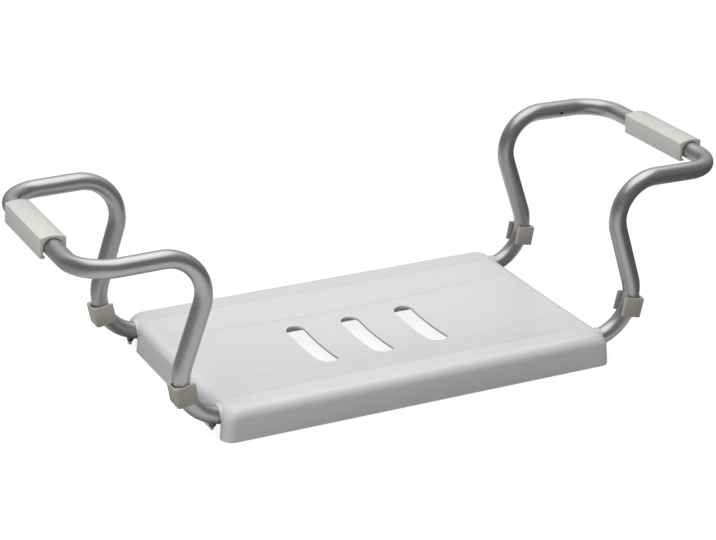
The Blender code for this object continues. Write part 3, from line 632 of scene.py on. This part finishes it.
def rimSizes(settings, inset):
    # the rim of the outside, or of the same sheet moved inwards
    lean = settings["draft"] + settings["edge"]
    top, radius = settings["height"] - inset, settings["edge"] - inset
    return {
        "half": (settings["length"] / 2 - lean, settings["width"] / 2 - lean),
        "inner": settings["corner"] - settings["edge"],
        "tighter": settings["corner"] - settings["footCorner"],
        "radius": radius,
        "top": top,
        "skirtTop": top - radius,
    }


def addTop(name, settings, rim):
    # the flat top as a grid of faces, with lines of edges where the grooves come
    columns, rows, half = settings["columns"], settings["rows"], rim["half"]
    bpy.ops.object.select_all(action="DESELECT")
    bpy.ops.mesh.primitive_grid_add(x_subdivisions=columns, y_subdivisions=rows, size=2)
    board = bpy.context.object
    board.name = name
    edit(board)
    bpy.ops.mesh.select_all(action="SELECT")
    movePicked(board, lambda co: roundCorner(
        Vector((
            spread(co.x, columns, half[0], settings), spread(co.y, rows, half[1], settings), rim["top"],
        )),
        half, rim["inner"],
    ))
    for y, aside, _ in settings["grooves"]:
        for middle in (-y, y):
            for offset in (-aside, 0, aside):
                cutAcross(board, (0, middle + offset, 0), (0, 1, 0))
    return board


def addRim(board, settings, rim):
    # the rounding and then the skirt, one ring of faces after another
    half, inner, radius = rim["half"], rim["inner"], rim["radius"]
    pick(board, "EDGE", lambda edge: edge.is_boundary)
    for step in range(1, settings["edgeSteps"] + 1):
        share = step / settings["edgeSteps"]
        angle = math.pi / 2 * share
        out, drop = radius * math.sin(angle), radius * (1 - math.cos(angle))
        own = inner - rim["tighter"] * share ** 2
        bpy.ops.mesh.extrude_region_move()
        movePicked(board, lambda co: ringPlace(co, half, own, out, rim["top"] - drop))
    for step in range(1, settings["skirtSteps"] + 1):
        share = step / settings["skirtSteps"]
        out, height = radius + settings["draft"] * share, rim["skirtTop"] * (1 - share)
        bpy.ops.mesh.extrude_region_move()
        movePicked(board, lambda co: ringPlace(co, half, inner - rim["tighter"], out, height))


def modelSkin(name, settings, inset):
    # the board's outside as one open sheet, or the same sheet moved inwards
    rim = rimSizes(settings, inset)
    skirtTop = rim["skirtTop"]
    board = addTop(name, settings, rim)
    addRim(board, settings, rim)
    pick(board, "VERT", lambda vert: vert.co.z < skirtTop - hair)
    movePicked(board, lambda co: leanOut(co, skirtTop, settings))
    pick(board, "VERT", lambda vert: vert.co.z > skirtTop + hair)
    movePicked(board, lambda co: co - Vector((0, 0, dishDepth(co, settings))))
    leaveEdit()
    return board


def leanOut(co, height, settings):
    # moves the board's ends further out towards their foot
    share = 1 - co.z / height
    return Vector((co.x * (1 + 2 * share * settings["endLean"] / settings["length"]), co.y, co.z))


def dishDepth(co, settings):
    along = 1 - (2 * co.x / settings["length"]) ** 2
    across = 1 - (co.y / settings["borderY"]) ** 2
    return settings["dishDepth"] * max(0, along) * max(0, across)


def sinkGrooves(board, settings):
    edit(board)
    reach = settings["length"] / 2 - settings["edge"]
    for y, _, depth in settings["grooves"]:
        pick(board, "VERT", lambda vert: abs(abs(vert.co.y) - y) < hair and abs(vert.co.x) < reach)
        movePicked(board, lambda co: co - Vector((0, 0, depth)))
    leaveEdit()


def slotTool(x, settings):
    tool = addRod("slot", settings["slotWidth"] / 2, *settings["slotTool"], around=56)
    straight = (settings["slotLength"] - settings["slotWidth"]) / 2
    edit(tool)
    bpy.ops.mesh.select_all(action="SELECT")
    movePicked(tool, lambda co: co + Vector((x, settings["slotY"] + math.copysign(straight, co.y), 0)))
    leaveEdit()
    return tool


def archHeight(settings, hoop):
    return hoop["legZ"] + settings["archLift"]


def cutArches(piece, settings, hoop):
    # the openings in the ends of the board that the legs come out of
    radius, legY, height = settings["archRadius"], hoop["legY"], archHeight(settings, hoop)
    low, high = settings["archFromX"], settings["length"] / 2 + settings["wall"]
    for flip in legFlips:
        rod = addRod("arch", radius, low, high, around=48)
        combine(piece, placed(layAlongX(rod, legY, height), flip))
        first, last = (low, legY - radius, -settings["wall"]), (high, legY + radius, height)
        combine(piece, placed(addBlock("arch", first, last), flip))


def addHoods(board, settings, hoop):
    # a low arched hood over each leg, level with the end of the board
    height = archHeight(settings, hoop)
    for flip in legFlips:
        radius = settings["archRadius"] + settings["hoodWall"]
        hood = addRod("hood", radius, *settings["hoodX"], around=48)
        softEdges(hood, settings["hoodRounding"], segments=3)
        layAlongX(hood, hoop["legY"], height)
        edit(hood)
        bpy.ops.mesh.select_all(action="SELECT")
        bpy.ops.mesh.bisect(
            plane_co=(0, 0, height), plane_no=(0, 0, 1), use_fill=True, clear_inner=True
        )
        leaveEdit()
        combine(board, placed(hood, flip), "UNION")


def modelBoard(settings, hoop):
    board = modelSkin("visual_board", settings, 0)
    sinkGrooves(board, settings)
    facesOutwards(board)
    modify(board, "SOLIDIFY", thickness=settings["wall"], offset=-1, use_even_offset=True)
    edit(board)    # the wall's lower rim is made level
    pick(board, "VERT", lambda vert: vert.co.z < 0)
    movePicked(board, lambda co: Vector((co.x, co.y, 0)))
    leaveEdit()
    for x in settings["slots"]:
        combine(board, slotTool(x, settings))
    addHoods(board, settings, hoop)
    cutArches(board, settings, hoop)
    return board


# ribs and saddles under the board

ribSettings = {
    "thickness": 3 * mm,
    "bottom": 10.1 * mm,
    "longY": 94.5 * mm,
    "crossX": 108 * mm,
    "crossBottom": 8 * mm,
    "slotRibY": (-51.6 * mm, 46.6 * mm),
    "slotRibBottom": 15.3 * mm,
    "blockHalf": 4.6 * mm,
    "blockInset": 1 * mm,
    "overlap": 0.5 * mm,
    "bossRadius": 6.5 * mm,
    "guideX": 195 * mm,
    "clampX": 150 * mm,
    "channelFromX": 134 * mm,
    "channelOverlap": 1 * mm,
    "knobY": 84 * mm,
    "innerY": 84.5 * mm,
    "screws": {
        "clamp_screw": (150 * mm, 120.9 * mm),
        "guide_outer_screw": (195 * mm, 120.9 * mm),
        "guide_inner_screw": (195 * mm, 89 * mm),
    },
    "screwHole": 2.2 * mm,
    "screwHoleTop": 21.4 * mm,
    "insertHole": 4.5 * mm,
    "insertHoleTop": 22 * mm,
    "channelRadius": 9.3 * mm,
}


def modelSaddle(settings, boardSize, strap):
    # the right rear leg's ribs, blocks and boss
    low, high = settings["bottom"], boardSize["height"]
    half, edge = strap["width"] / 2, boardSize["width"] / 2
    thick, inwards = settings["thickness"], settings["blockInset"]
    outerY = settings["screws"]["clamp_screw"][1] - settings["blockHalf"]
    clampX, guideX, farX = settings["clampX"], settings["guideX"], boardSize["length"] / 2
    knobY, innerY, ribY = settings["knobY"], settings["innerY"], settings["longY"] + settings["overlap"]
    saddle = addRod("saddle", settings["bossRadius"], low, high, (clampX, knobY), around=40)
    boxes = [
        ((clampX - half, knobY, low), (clampX - half + thick, edge, high)),
        ((clampX + half - thick, knobY, low), (clampX + half, edge, high)),
        ((clampX - half + inwards, outerY, low), (clampX + half - inwards, edge, high)),
        ((guideX - half, knobY, low), (guideX - half + thick, edge, high)),
        ((guideX - half + inwards, outerY, low), (farX, edge, high)),
        ((guideX - half + inwards, innerY, low), (farX, ribY, high)),
    ]
    for first, last in boxes:
        combine(saddle, addBlock("part", first, last), "UNION")
    return saddle


def modelRibs(settings, boardSize, strap, hoop):
    far, half = boardSize["length"] / 2, settings["thickness"] / 2
    top, longY = boardSize["height"], settings["longY"]
    ribs = addBlock("visual_ribs", (-far, longY - half, settings["bottom"]), (far, longY + half, top))
    low, high = (-far, -longY - half, settings["bottom"]), (far, half - longY, top)
    combine(ribs, addBlock("part", low, high), "UNION")
    for side in sides.values():
        middle = side * settings["crossX"]
        low = (middle - half, -longY, settings["crossBottom"])
        combine(ribs, addBlock("part", low, (middle + half, longY, top)), "UNION")
    for y in settings["slotRibY"]:
        low = (-settings["crossX"], y - half, settings["slotRibBottom"])
        combine(ribs, addBlock("part", low, (settings["crossX"], y + half, top)), "UNION")
    saddle = modelSaddle(settings, boardSize, strap)
    for flip in legFlips:
        combine(ribs, copied(saddle, "part", flip), "UNION")
        for tool in saddleTools(settings, hoop, boardSize):
            combine(ribs, placed(tool, flip))
    bpy.data.objects.remove(saddle)
    cutArches(ribs, boardSize, hoop)
    combine(ribs, modelLimit(boardSize), "INTERSECT")
    return ribs


def modelLimit(boardSize):
    # the space under the board, as a closed shape that ends inside the board's wall
    limit = modelSkin("limit", boardSize, boardSize["wall"] / 2)
    edit(limit)
    pick(limit, "EDGE", lambda edge: edge.is_boundary)
    bpy.ops.mesh.edge_face_add()
    leaveEdit()
    facesOutwards(limit)
    return limit


def saddleTools(settings, hoop, boardSize):
    # what is cut out of a saddle: the leg's channel and the holes for its fasteners
    radius, legY, legZ = settings["channelRadius"], hoop["legY"], hoop["legZ"]
    low, high = settings["channelFromX"], boardSize["archFromX"] + settings["channelOverlap"]
    below = -boardSize["wall"]
    tools = [
        layAlongX(addRod("channel", radius, low, high, around=48), legY, legZ),
        addBlock("channel", (low, legY - radius, below), (high, legY + radius, legZ)),
    ]
    for place in settings["screws"].values():
        tools.append(addRod("hole", settings["screwHole"], below, settings["screwHoleTop"], place, 20))
    place = (settings["clampX"], settings["knobY"])
    tools.append(addRod("hole", settings["insertHole"], below, settings["insertHoleTop"], place))
    return tools


# straps, screws and knobs

strapSettings = {
    "width": 16 * mm,
    "low": 7.8 * mm,
    "high": 9.8 * mm,
    "corner": 4 * mm,
    "outerY": 124.5 * mm,
    "clampInnerY": 76 * mm,
    "guideInnerY": 84 * mm,
    "studHole": 3.3 * mm,
    "softening": 0.3 * mm,
}


def modelStrap(x, innerY, holes, settings):
    half = settings["width"] / 2
    first = (x - half, innerY, settings["low"])
    last = (x + half, settings["outerY"], settings["high"])
    strap = addBlock("strap", first, last)
    edit(strap)
    pick(strap, "EDGE", lambda edge: abs(edge.verts[0].co.z - edge.verts[1].co.z) > mm)
    bpy.ops.mesh.bevel(offset=settings["corner"], segments=7, affect="EDGES")
    leaveEdit()
    for place, radius in holes:
        combine(strap, addRod("hole", radius, 0, 2 * settings["high"], place, 24))
    softEdges(strap, settings["softening"])
    return strap


screwSettings = {
    # pairs of radius and height in mm, from the head up to the tip
    "profile": [
        (1.7, 0), (2.4, 0.1), (2.9, 0.5), (3.15, 1.1), (3.2, 1.7), (3.1, 2.1), (1.9, 2.2),
        (1.9, 13.3), (0.4, 15.2),
    ],
    "headHeight": 2.2 * mm,
    "gap": 0.3 * mm,
    "recessWidth": 0.9 * mm,
    "recessReach": 4 * mm,
    "recessDepth": 1.2 * mm,
}


def modelScrew(place, settings, strap):
    profile = [(radius * mm, height * mm) for radius, height in settings["profile"]]
    screw = turned("screw", profile, around=28)
    wide, long = settings["recessWidth"] / 2, settings["recessReach"]
    recess = addBlock("recess", (-long, -wide, -long), (long, wide, settings["recessDepth"]))
    combine(screw, recess)
    height = strap["low"] - settings["gap"] - settings["headHeight"]
    return placed(screw, Matrix.Translation((*place, height)))


knobSettings = {
    "lift": 1 * mm,
    # pairs of radius and height in mm, from the foot to the top
    "profile": [
        (2, 0.9), (6.6, 0.9), (7.4, 0.5), (8, 0.1), (9.6, 0), (10.6, 0.3), (11.2, 0.9), (11.5, 1.8),
        (11.5, 2.9), (11.2, 3.8), (10.6, 4.3), (9.6, 4.5), (7.6, 4.5), (7.1, 4.9), (7, 5.4), (7, 6.2),
        (6.7, 6.5),
    ],
    "lobes": 6,
    "lobe": 1 * mm,
    "gripFrom": 7.2 * mm,
    "radius": 11.5 * mm,
    "studHole": 3.3 * mm,
    "hole": (2 * mm, 20 * mm),
}


def modelKnob(place, settings):
    profile = [(radius * mm, height * mm) for radius, height in settings["profile"]]
    knob = turned("knob", profile, around=96)
    edit(knob)
    pick(knob, "VERT", lambda vert: vert.co.xy.length > settings["gripFrom"])
    movePicked(knob, lambda co: withLobes(co, settings))
    leaveEdit()
    combine(knob, addRod("hole", settings["studHole"], *settings["hole"]))
    return placed(knob, Matrix.Translation((*place, settings["lift"])))


def withLobes(co, settings):
    # the nearer to the knob's edge, the further a lobe stands out
    reach = co.xy.length
    share = (reach - settings["gripFrom"]) / (settings["radius"] - settings["gripFrom"])
    angle = math.atan2(co.y, co.x)
    factor = 1 + share * settings["lobe"] * math.cos(settings["lobes"] * angle) / reach
    return Vector((co.x * factor, co.y * factor, co.z))


# grips

gripSettings = {
    "length": 102 * mm,
    "wall": 3.5 * mm,
    "gap": 0.3 * mm,
    "shoulder": 0.5 * mm,
    "crown": 2.5 * mm,
    "drop": 0.8 * mm,
    "lipHeight": 1.9 * mm,
    "lip": 1.7 * mm,
    "rounding": 0.5 * mm,
    "crownLines": 11,
    "sides": {
        "left": {"offset": 9.5 * mm, "lean": math.radians(3.4)},
        "right": {"offset": -8.5 * mm, "lean": math.radians(1.3)},
    },
}


def crownHeight(x, half, settings, hoop):
    radius = (half ** 2 + settings["crown"] ** 2) / (2 * settings["crown"])
    top = hoop["radius"] + settings["shoulder"] + settings["crown"]
    return top - radius + math.sqrt(radius ** 2 - x ** 2)


def modelGrip(settings, hoop):
    # modelled round a bar along Y through the origin
    half = hoop["radius"] + settings["wall"]
    bottom = -hoop["radius"] - settings["drop"]
    reach = settings["length"] / 2
    bore = hoop["radius"] + settings["gap"]
    mouth = hoop["radius"] - settings["lip"]
    lipTop = bottom + settings["lipHeight"]
    grip = addBlock("grip", (-half, -reach, bottom), (half, reach, half))
    edit(grip)
    for line in range(1, settings["crownLines"] + 1):
        x = half * (2 * line / (settings["crownLines"] + 1) - 1)
        cutAcross(grip, (x, 0, 0), (1, 0, 0))
    pick(grip, "VERT", lambda vert: vert.co.z > 0)
    movePicked(grip, lambda co: Vector((co.x, co.y, crownHeight(co.x, half, settings, hoop))))
    leaveEdit()
    far = 2 * reach
    rod = addRod("bore", bore, -far, far, around=56)
    combine(grip, placed(rod, Matrix.Rotation(math.pi / 2, 4, "X")))
    combine(grip, addBlock("throat", (-bore, -far, lipTop), (bore, far, 0)))
    combine(grip, addBlock("mouth", (-mouth, -far, 2 * bottom), (mouth, far, 0)))
    softEdges(grip, settings["rounding"], segments=3)
    return grip


def placeGrips(settings, grip, barAt, material):
    for name, side in sides.items():
        own = settings["sides"][name]
        place = Matrix.Translation((side * barAt.x, own["offset"], barAt.z))
        lean = Matrix.Rotation(-side * own["lean"], 4, "Y")
        twin = copied(grip, "visual_" + name + "_grip", place @ lean)
        finishPiece(twin, name + "_grip", material, "grip_plastic", name + "_bath_grip")
    bpy.data.objects.remove(grip)


# bumper clips

clipSettings = {
    "tilt": math.radians(10.5),
    "grasp": 10.3 * mm,
    "tipRounding": 2.3 * mm,
    "bite": 0.6 * mm,
    "pad": 2.1 * mm,
    "wall": 2.5 * mm,
    "height": 20 * mm,
    "rounding": 3 * mm,
    "gap": 0.3 * mm,
    "softening": 0.4 * mm,
    "usual": {"angle": math.radians(73), "outset": 0, "turn": 0},
    "slipped": {"angle": math.radians(66.2), "outset": 1.5 * mm, "turn": 0},
    "turned": {"angle": math.radians(73), "outset": 0, "turn": math.radians(8)},
}


def clipPlace(settings, spot, hoop):
    angle, radius = spot["angle"], hoop["lowerRadius"]
    up = Vector((0, math.sin(hoop["splay"]), math.cos(hoop["splay"])))
    start = Vector((hoop["bendX"], hoop["legY"], hoop["legZ"]))
    center = start + Vector((1, 0, 0)) * math.sin(angle) * radius + up * (1 - math.cos(angle)) * radius
    tilt = settings["tilt"]
    along = Vector((math.sin(tilt), math.sin(hoop["splay"]), math.cos(tilt)))
    outwards = Vector((math.cos(tilt), 0, -math.sin(tilt)))
    place = framePlace(center + outwards * spot["outset"], along, along.cross(outwards))
    return place @ Matrix.Rotation(spot["turn"], 4, "Z")


def modelClip(settings, spot, hoop):
    half, reach = hoop["radius"] + settings["wall"], settings["height"] / 2
    radius = hoop["radius"] + settings["gap"]
    low = (-settings["grasp"], -half, -reach)
    high = (hoop["radius"] + settings["pad"], half, reach)
    clip = addBlock("clip", low, high)
    edit(clip)
    for side, rounding in ((1, settings["rounding"]), (-1, settings["tipRounding"])):
        pick(clip, "EDGE", lambda edge: all(side * vert.co.x > 0 for vert in edge.verts)
             and abs(edge.verts[0].co.z - edge.verts[1].co.z) > mm)
        bpy.ops.mesh.bevel(offset=rounding, segments=6, affect="EDGES")
    leaveEdit()
    throat = radius - settings["bite"]
    combine(clip, addBlock("throat", (4 * low[0], -throat, -2 * reach), (0, throat, 2 * reach)))
    combine(clip, addRod("straight", radius, -2 * reach, 2 * reach, around=56))
    placed(clip, clipPlace(settings, spot, hoop))
    bent, _ = sweepHalfHoop("bent", hoop, radius, fill=True)
    facesOutwards(bent)
    combine(clip, bent)
    softEdges(clip, settings["softening"])
    return clip


# materials

def startMaterial(name):
    material = bpy.data.materials.new(name)
    material.use_nodes = True
    tree = material.node_tree
    place = addNode(tree, "TexCoord").outputs["Object"]
    return material, tree, tree.nodes["Principled BSDF"], place


def noise(tree, place, scale, detail=3, roughness=0.5):
    made = addNode(
        tree, "TexNoise", {"Vector": place, "Scale": scale, "Detail": detail, "Roughness": roughness}
    )
    return made.outputs["Fac"]


def between(tree, factor, low, high):
    # a value from low to high as the factor runs from 0.3 to 0.7
    made = addNode(tree, "MapRange", {
        "Value": factor, "From Min": 0.3, "From Max": 0.7, "To Min": low, "To Max": high,
    })
    return made.outputs["Result"]


def blend(tree, factor, first, second):
    made = addNode(
        tree, "Mix", {"Factor": factor, "A": (*first, 1), "B": (*second, 1)}, data_type="RGBA"
    )
    return made.outputs["Result"]


plasticIor = 1.49
driftShare = 0.4    # in a metal, the rest of the change of shade is its streaks


def plasticMaterial(name, settings):
    # moulded plastic: faint drifts of shade, a fine grain and small changes in gloss, and painted shade
    # along the grooves where lines are given
    material, tree, shader, place = startMaterial(name)
    drift = between(tree, noise(tree, place, settings["driftScale"]), 0, 1)
    color = blend(tree, drift, settings["pale"], settings["deep"])
    if "lines" in settings:
        color = withPaintedGrooveShade(tree, place, color, settings)
    tree.links.new(color, shader.inputs["Base Color"])
    gloss = between(tree, noise(tree, place, settings["glossScale"], 4), *settings["roughness"])
    tree.links.new(gloss, shader.inputs["Roughness"])
    grain = noise(tree, place, settings["grainScale"], 2, 0.6)
    bump = addNode(tree, "Bump", {
        "Height": grain, "Strength": settings["grainStrength"], "Distance": settings["grainDepth"],
    })
    tree.links.new(bump.outputs["Normal"], shader.inputs["Normal"])
    shader.inputs["IOR"].default_value = plasticIor
    return material


def withPaintedGrooveShade(tree, place, color, settings):
    # painted shade: the shallow grooves along the top are painted a little darker
    at = addNode(tree, "SeparateXYZ", {"Vector": place}).outputs
    aside = worked(tree, "ABSOLUTE", at["Y"])
    lines = fade(tree, worked(tree, "ABSOLUTE", at["X"]), settings["lineEnd"], (1, 0))
    lines = times(tree, lines, fade(tree, at["Z"], settings["lineFoot"], (0, 1)))
    near = []
    for y in settings["lines"]:
        gap = worked(tree, "ABSOLUTE", worked(tree, "SUBTRACT", aside, y))
        near.append(fade(tree, gap, settings["lineHalf"], (1, 0)))
    lines = times(tree, lines, worked(tree, "MAXIMUM", *near))
    left = worked(tree, "SUBTRACT", 1, times(tree, lines, settings["paintedLineShade"]))
    return addNode(tree, "VectorMath", {0: color, "Scale": left}, operation="SCALE").outputs["Vector"]


def metalMaterial(name, settings):
    # metal: streaks, or an even grain where the scales are alike, in shade, gloss and relief
    material, tree, shader, place = startMaterial(name)
    shader.inputs["Metallic"].default_value = 1
    streakPlace = addNode(tree, "Mapping", {"Vector": place, "Scale": settings["streakScale"]})
    streaks = noise(tree, streakPlace.outputs["Vector"], 1, 4, 0.6)
    drift = noise(tree, place, settings["driftScale"], 3)
    both = mixed(tree, driftShare, streaks, drift)
    shade = between(tree, both, 0, 1)
    tree.links.new(blend(tree, shade, settings["pale"], settings["deep"]), shader.inputs["Base Color"])
    tree.links.new(between(tree, both, *settings["roughness"]), shader.inputs["Roughness"])
    bump = addNode(tree, "Bump", {
        "Height": streaks, "Strength": settings["grainStrength"], "Distance": settings["grainDepth"],
    })
    tree.links.new(bump.outputs["Normal"], shader.inputs["Normal"])
    return material


plasticSettings = {
    "boardPlastic": {
        "pale": (0.765, 0.766, 0.778), "deep": (0.745, 0.746, 0.758), "driftScale": 9,
        "roughness": (0.3, 0.38), "glossScale": 60,
        "grainScale": 900, "grainStrength": 0.08, "grainDepth": 0.05 * mm,
        # painted shade along the grooves of the top
        "lines": (59.3 * mm, 99.4 * mm), "lineHalf": (0.6 * mm, 2 * mm), "paintedLineShade": 0.085,
        "lineEnd": (185 * mm, 198 * mm), "lineFoot": (14 * mm, 16 * mm),
    },
    "gripPlastic": {
        "pale": (0.69, 0.68, 0.655), "deep": (0.66, 0.65, 0.625), "driftScale": 25,
        "roughness": (0.38, 0.48), "glossScale": 120,
        "grainScale": 1500, "grainStrength": 0.12, "grainDepth": 0.05 * mm,
    },
    "clipPlastic": {
        "pale": (0.53, 0.5, 0.45), "deep": (0.47, 0.44, 0.39), "driftScale": 60,
        "roughness": (0.4, 0.5), "glossScale": 200,
        "grainScale": 1500, "grainStrength": 0.15, "grainDepth": 0.05 * mm,
    },
    "knobPlastic": {
        "pale": (0.6, 0.6, 0.59), "deep": (0.55, 0.55, 0.54), "driftScale": 60,
        "roughness": (0.42, 0.55), "glossScale": 250,
        "grainScale": 1800, "grainStrength": 0.25, "grainDepth": 0.05 * mm,
    },
    "plugPlastic": {
        "pale": (0.13, 0.13, 0.132), "deep": (0.1, 0.1, 0.102), "driftScale": 60,
        "roughness": (0.4, 0.5), "glossScale": 250,
        "grainScale": 1800, "grainStrength": 0.2, "grainDepth": 0.05 * mm,
    },
}

metalSettings = {
    "tubeAluminium": {
        "pale": (0.435, 0.435, 0.43), "deep": (0.4, 0.4, 0.395), "driftScale": 30,
        "streakScale": (900, 900, 900), "roughness": (0.34, 0.4),
        "grainStrength": 0.05, "grainDepth": 0.02 * mm,
    },
    "buttonSteel": {
        "pale": (0.17, 0.17, 0.165), "deep": (0.12, 0.12, 0.118), "driftScale": 80,
        "streakScale": (1500, 1500, 1500), "roughness": (0.14, 0.2),
        "grainStrength": 0.05, "grainDepth": 0.02 * mm,
    },
    "springSteel": {
        "pale": (0.45, 0.44, 0.42), "deep": (0.36, 0.35, 0.33), "driftScale": 80,
        "streakScale": (200, 2500, 2500), "roughness": (0.25, 0.35),
        "grainStrength": 0.1, "grainDepth": 0.03 * mm,
    },
    "strapSteel": {
        "pale": (0.58, 0.58, 0.57), "deep": (0.48, 0.48, 0.48), "driftScale": 90,
        "streakScale": (2500, 150, 800), "roughness": (0.28, 0.4),
        "grainStrength": 0.12, "grainDepth": 0.03 * mm,
    },
    "screwSteel": {
        "pale": (0.6, 0.59, 0.56), "deep": (0.5, 0.49, 0.46), "driftScale": 200,
        "streakScale": (1200, 1200, 3000), "roughness": (0.2, 0.32),
        "grainStrength": 0.1, "grainDepth": 0.02 * mm,
    },
    "insertBrass": {
        "pale": (0.72, 0.52, 0.22), "deep": (0.6, 0.42, 0.16), "driftScale": 150,
        "streakScale": (1200, 1200, 3000), "roughness": (0.22, 0.34),
        "grainStrength": 0.1, "grainDepth": 0.02 * mm,
    },
}

materials = {name: plasticMaterial(name, values) for name, values in plasticSettings.items()}
materials.update({name: metalMaterial(name, values) for name, values in metalSettings.items()})
print("materials ready")


# the run

tube, pen = modelHoop(hoopSettings)
barAt = Vector((pen["at"].x, 0, pen["at"].z))
print("hoop swept, bar at", [round(value / mm, 2) for value in barAt])
cutHoop(tube, pen, hoopSettings, buttonSettings)
leftTube = copied(tube, "visual_left_hoop", Matrix.Rotation(math.pi, 4, "Z"))
finishPiece(tube, "right_hoop", materials["tubeAluminium"], "tube_aluminium", "right_hoop_tube")
finishPiece(leftTube, "left_hoop", materials["tubeAluminium"], "tube_aluminium", "left_hoop_tube")
print("hoops ready")

forEachLeg(
    modelButton(buttonSettings, hoopSettings), materials["buttonSteel"], "button_steel",
    "snap_button", "{leg}_button",
)
print("buttons ready")

board = modelBoard(boardSettings, hoopSettings)
finishPiece(board, "seat", materials["boardPlastic"], "board_plastic", "seat_shell")
print("board ready")

ribs = modelRibs(ribSettings, boardSettings, strapSettings, hoopSettings)
finishPiece(ribs, "seat", materials["boardPlastic"], "board_plastic", "seat_shell")
print("ribs ready")

screws, screwHole = ribSettings["screws"], ribSettings["screwHole"]
knobPlace = (ribSettings["clampX"], ribSettings["knobY"])
clampHoles = [(screws["clamp_screw"], screwHole), (knobPlace, strapSettings["studHole"])]
clampStrap = modelStrap(
    ribSettings["clampX"], strapSettings["clampInnerY"], clampHoles, strapSettings
)
forEachLeg(clampStrap, materials["strapSteel"], "strap_steel", "clamp_strap")
guideHoles = [(screws[name], screwHole) for name in ("guide_outer_screw", "guide_inner_screw")]
guideStrap = modelStrap(
    ribSettings["guideX"], strapSettings["guideInnerY"], guideHoles, strapSettings
)
forEachLeg(guideStrap, materials["strapSteel"], "strap_steel", "guide_strap")
for name, place in screws.items():
    screw = modelScrew(place, screwSettings, strapSettings)
    forEachLeg(screw, materials["screwSteel"], "screw_steel", name)
knob = modelKnob(knobPlace, knobSettings)
forEachLeg(knob, materials["knobPlastic"], "knob_plastic", "clamp_knob", "{leg}_knob")
print("straps, screws and knobs ready")

placeGrips(gripSettings, modelGrip(gripSettings, hoopSettings), barAt, materials["gripPlastic"])
print("grips ready")

forEachLeg(
    modelClip(clipSettings, clipSettings["usual"], hoopSettings),
    materials["clipPlastic"], "clip_plastic", "bumper_clip", "{side}_hoop",
    {
        "left_rear": modelClip(clipSettings, clipSettings["slipped"], hoopSettings),
        "right_front": modelClip(clipSettings, clipSettings["turned"], hoopSettings),
    },
)
print("clips ready")

# the pieces that stay as they are in the frame

carriedOver = {
    "button_spring": "springSteel",
    "leg_end_plug": "plugPlastic",
    "clamp_stud": "screwSteel",
    "clamp_insert": "insertBrass",
}
for nodeName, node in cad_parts.items():
    for ending, materialName in carriedOver.items():
        if nodeName.endswith(ending):
            for slot in node.material_slots:
                slot.material = materials[materialName]
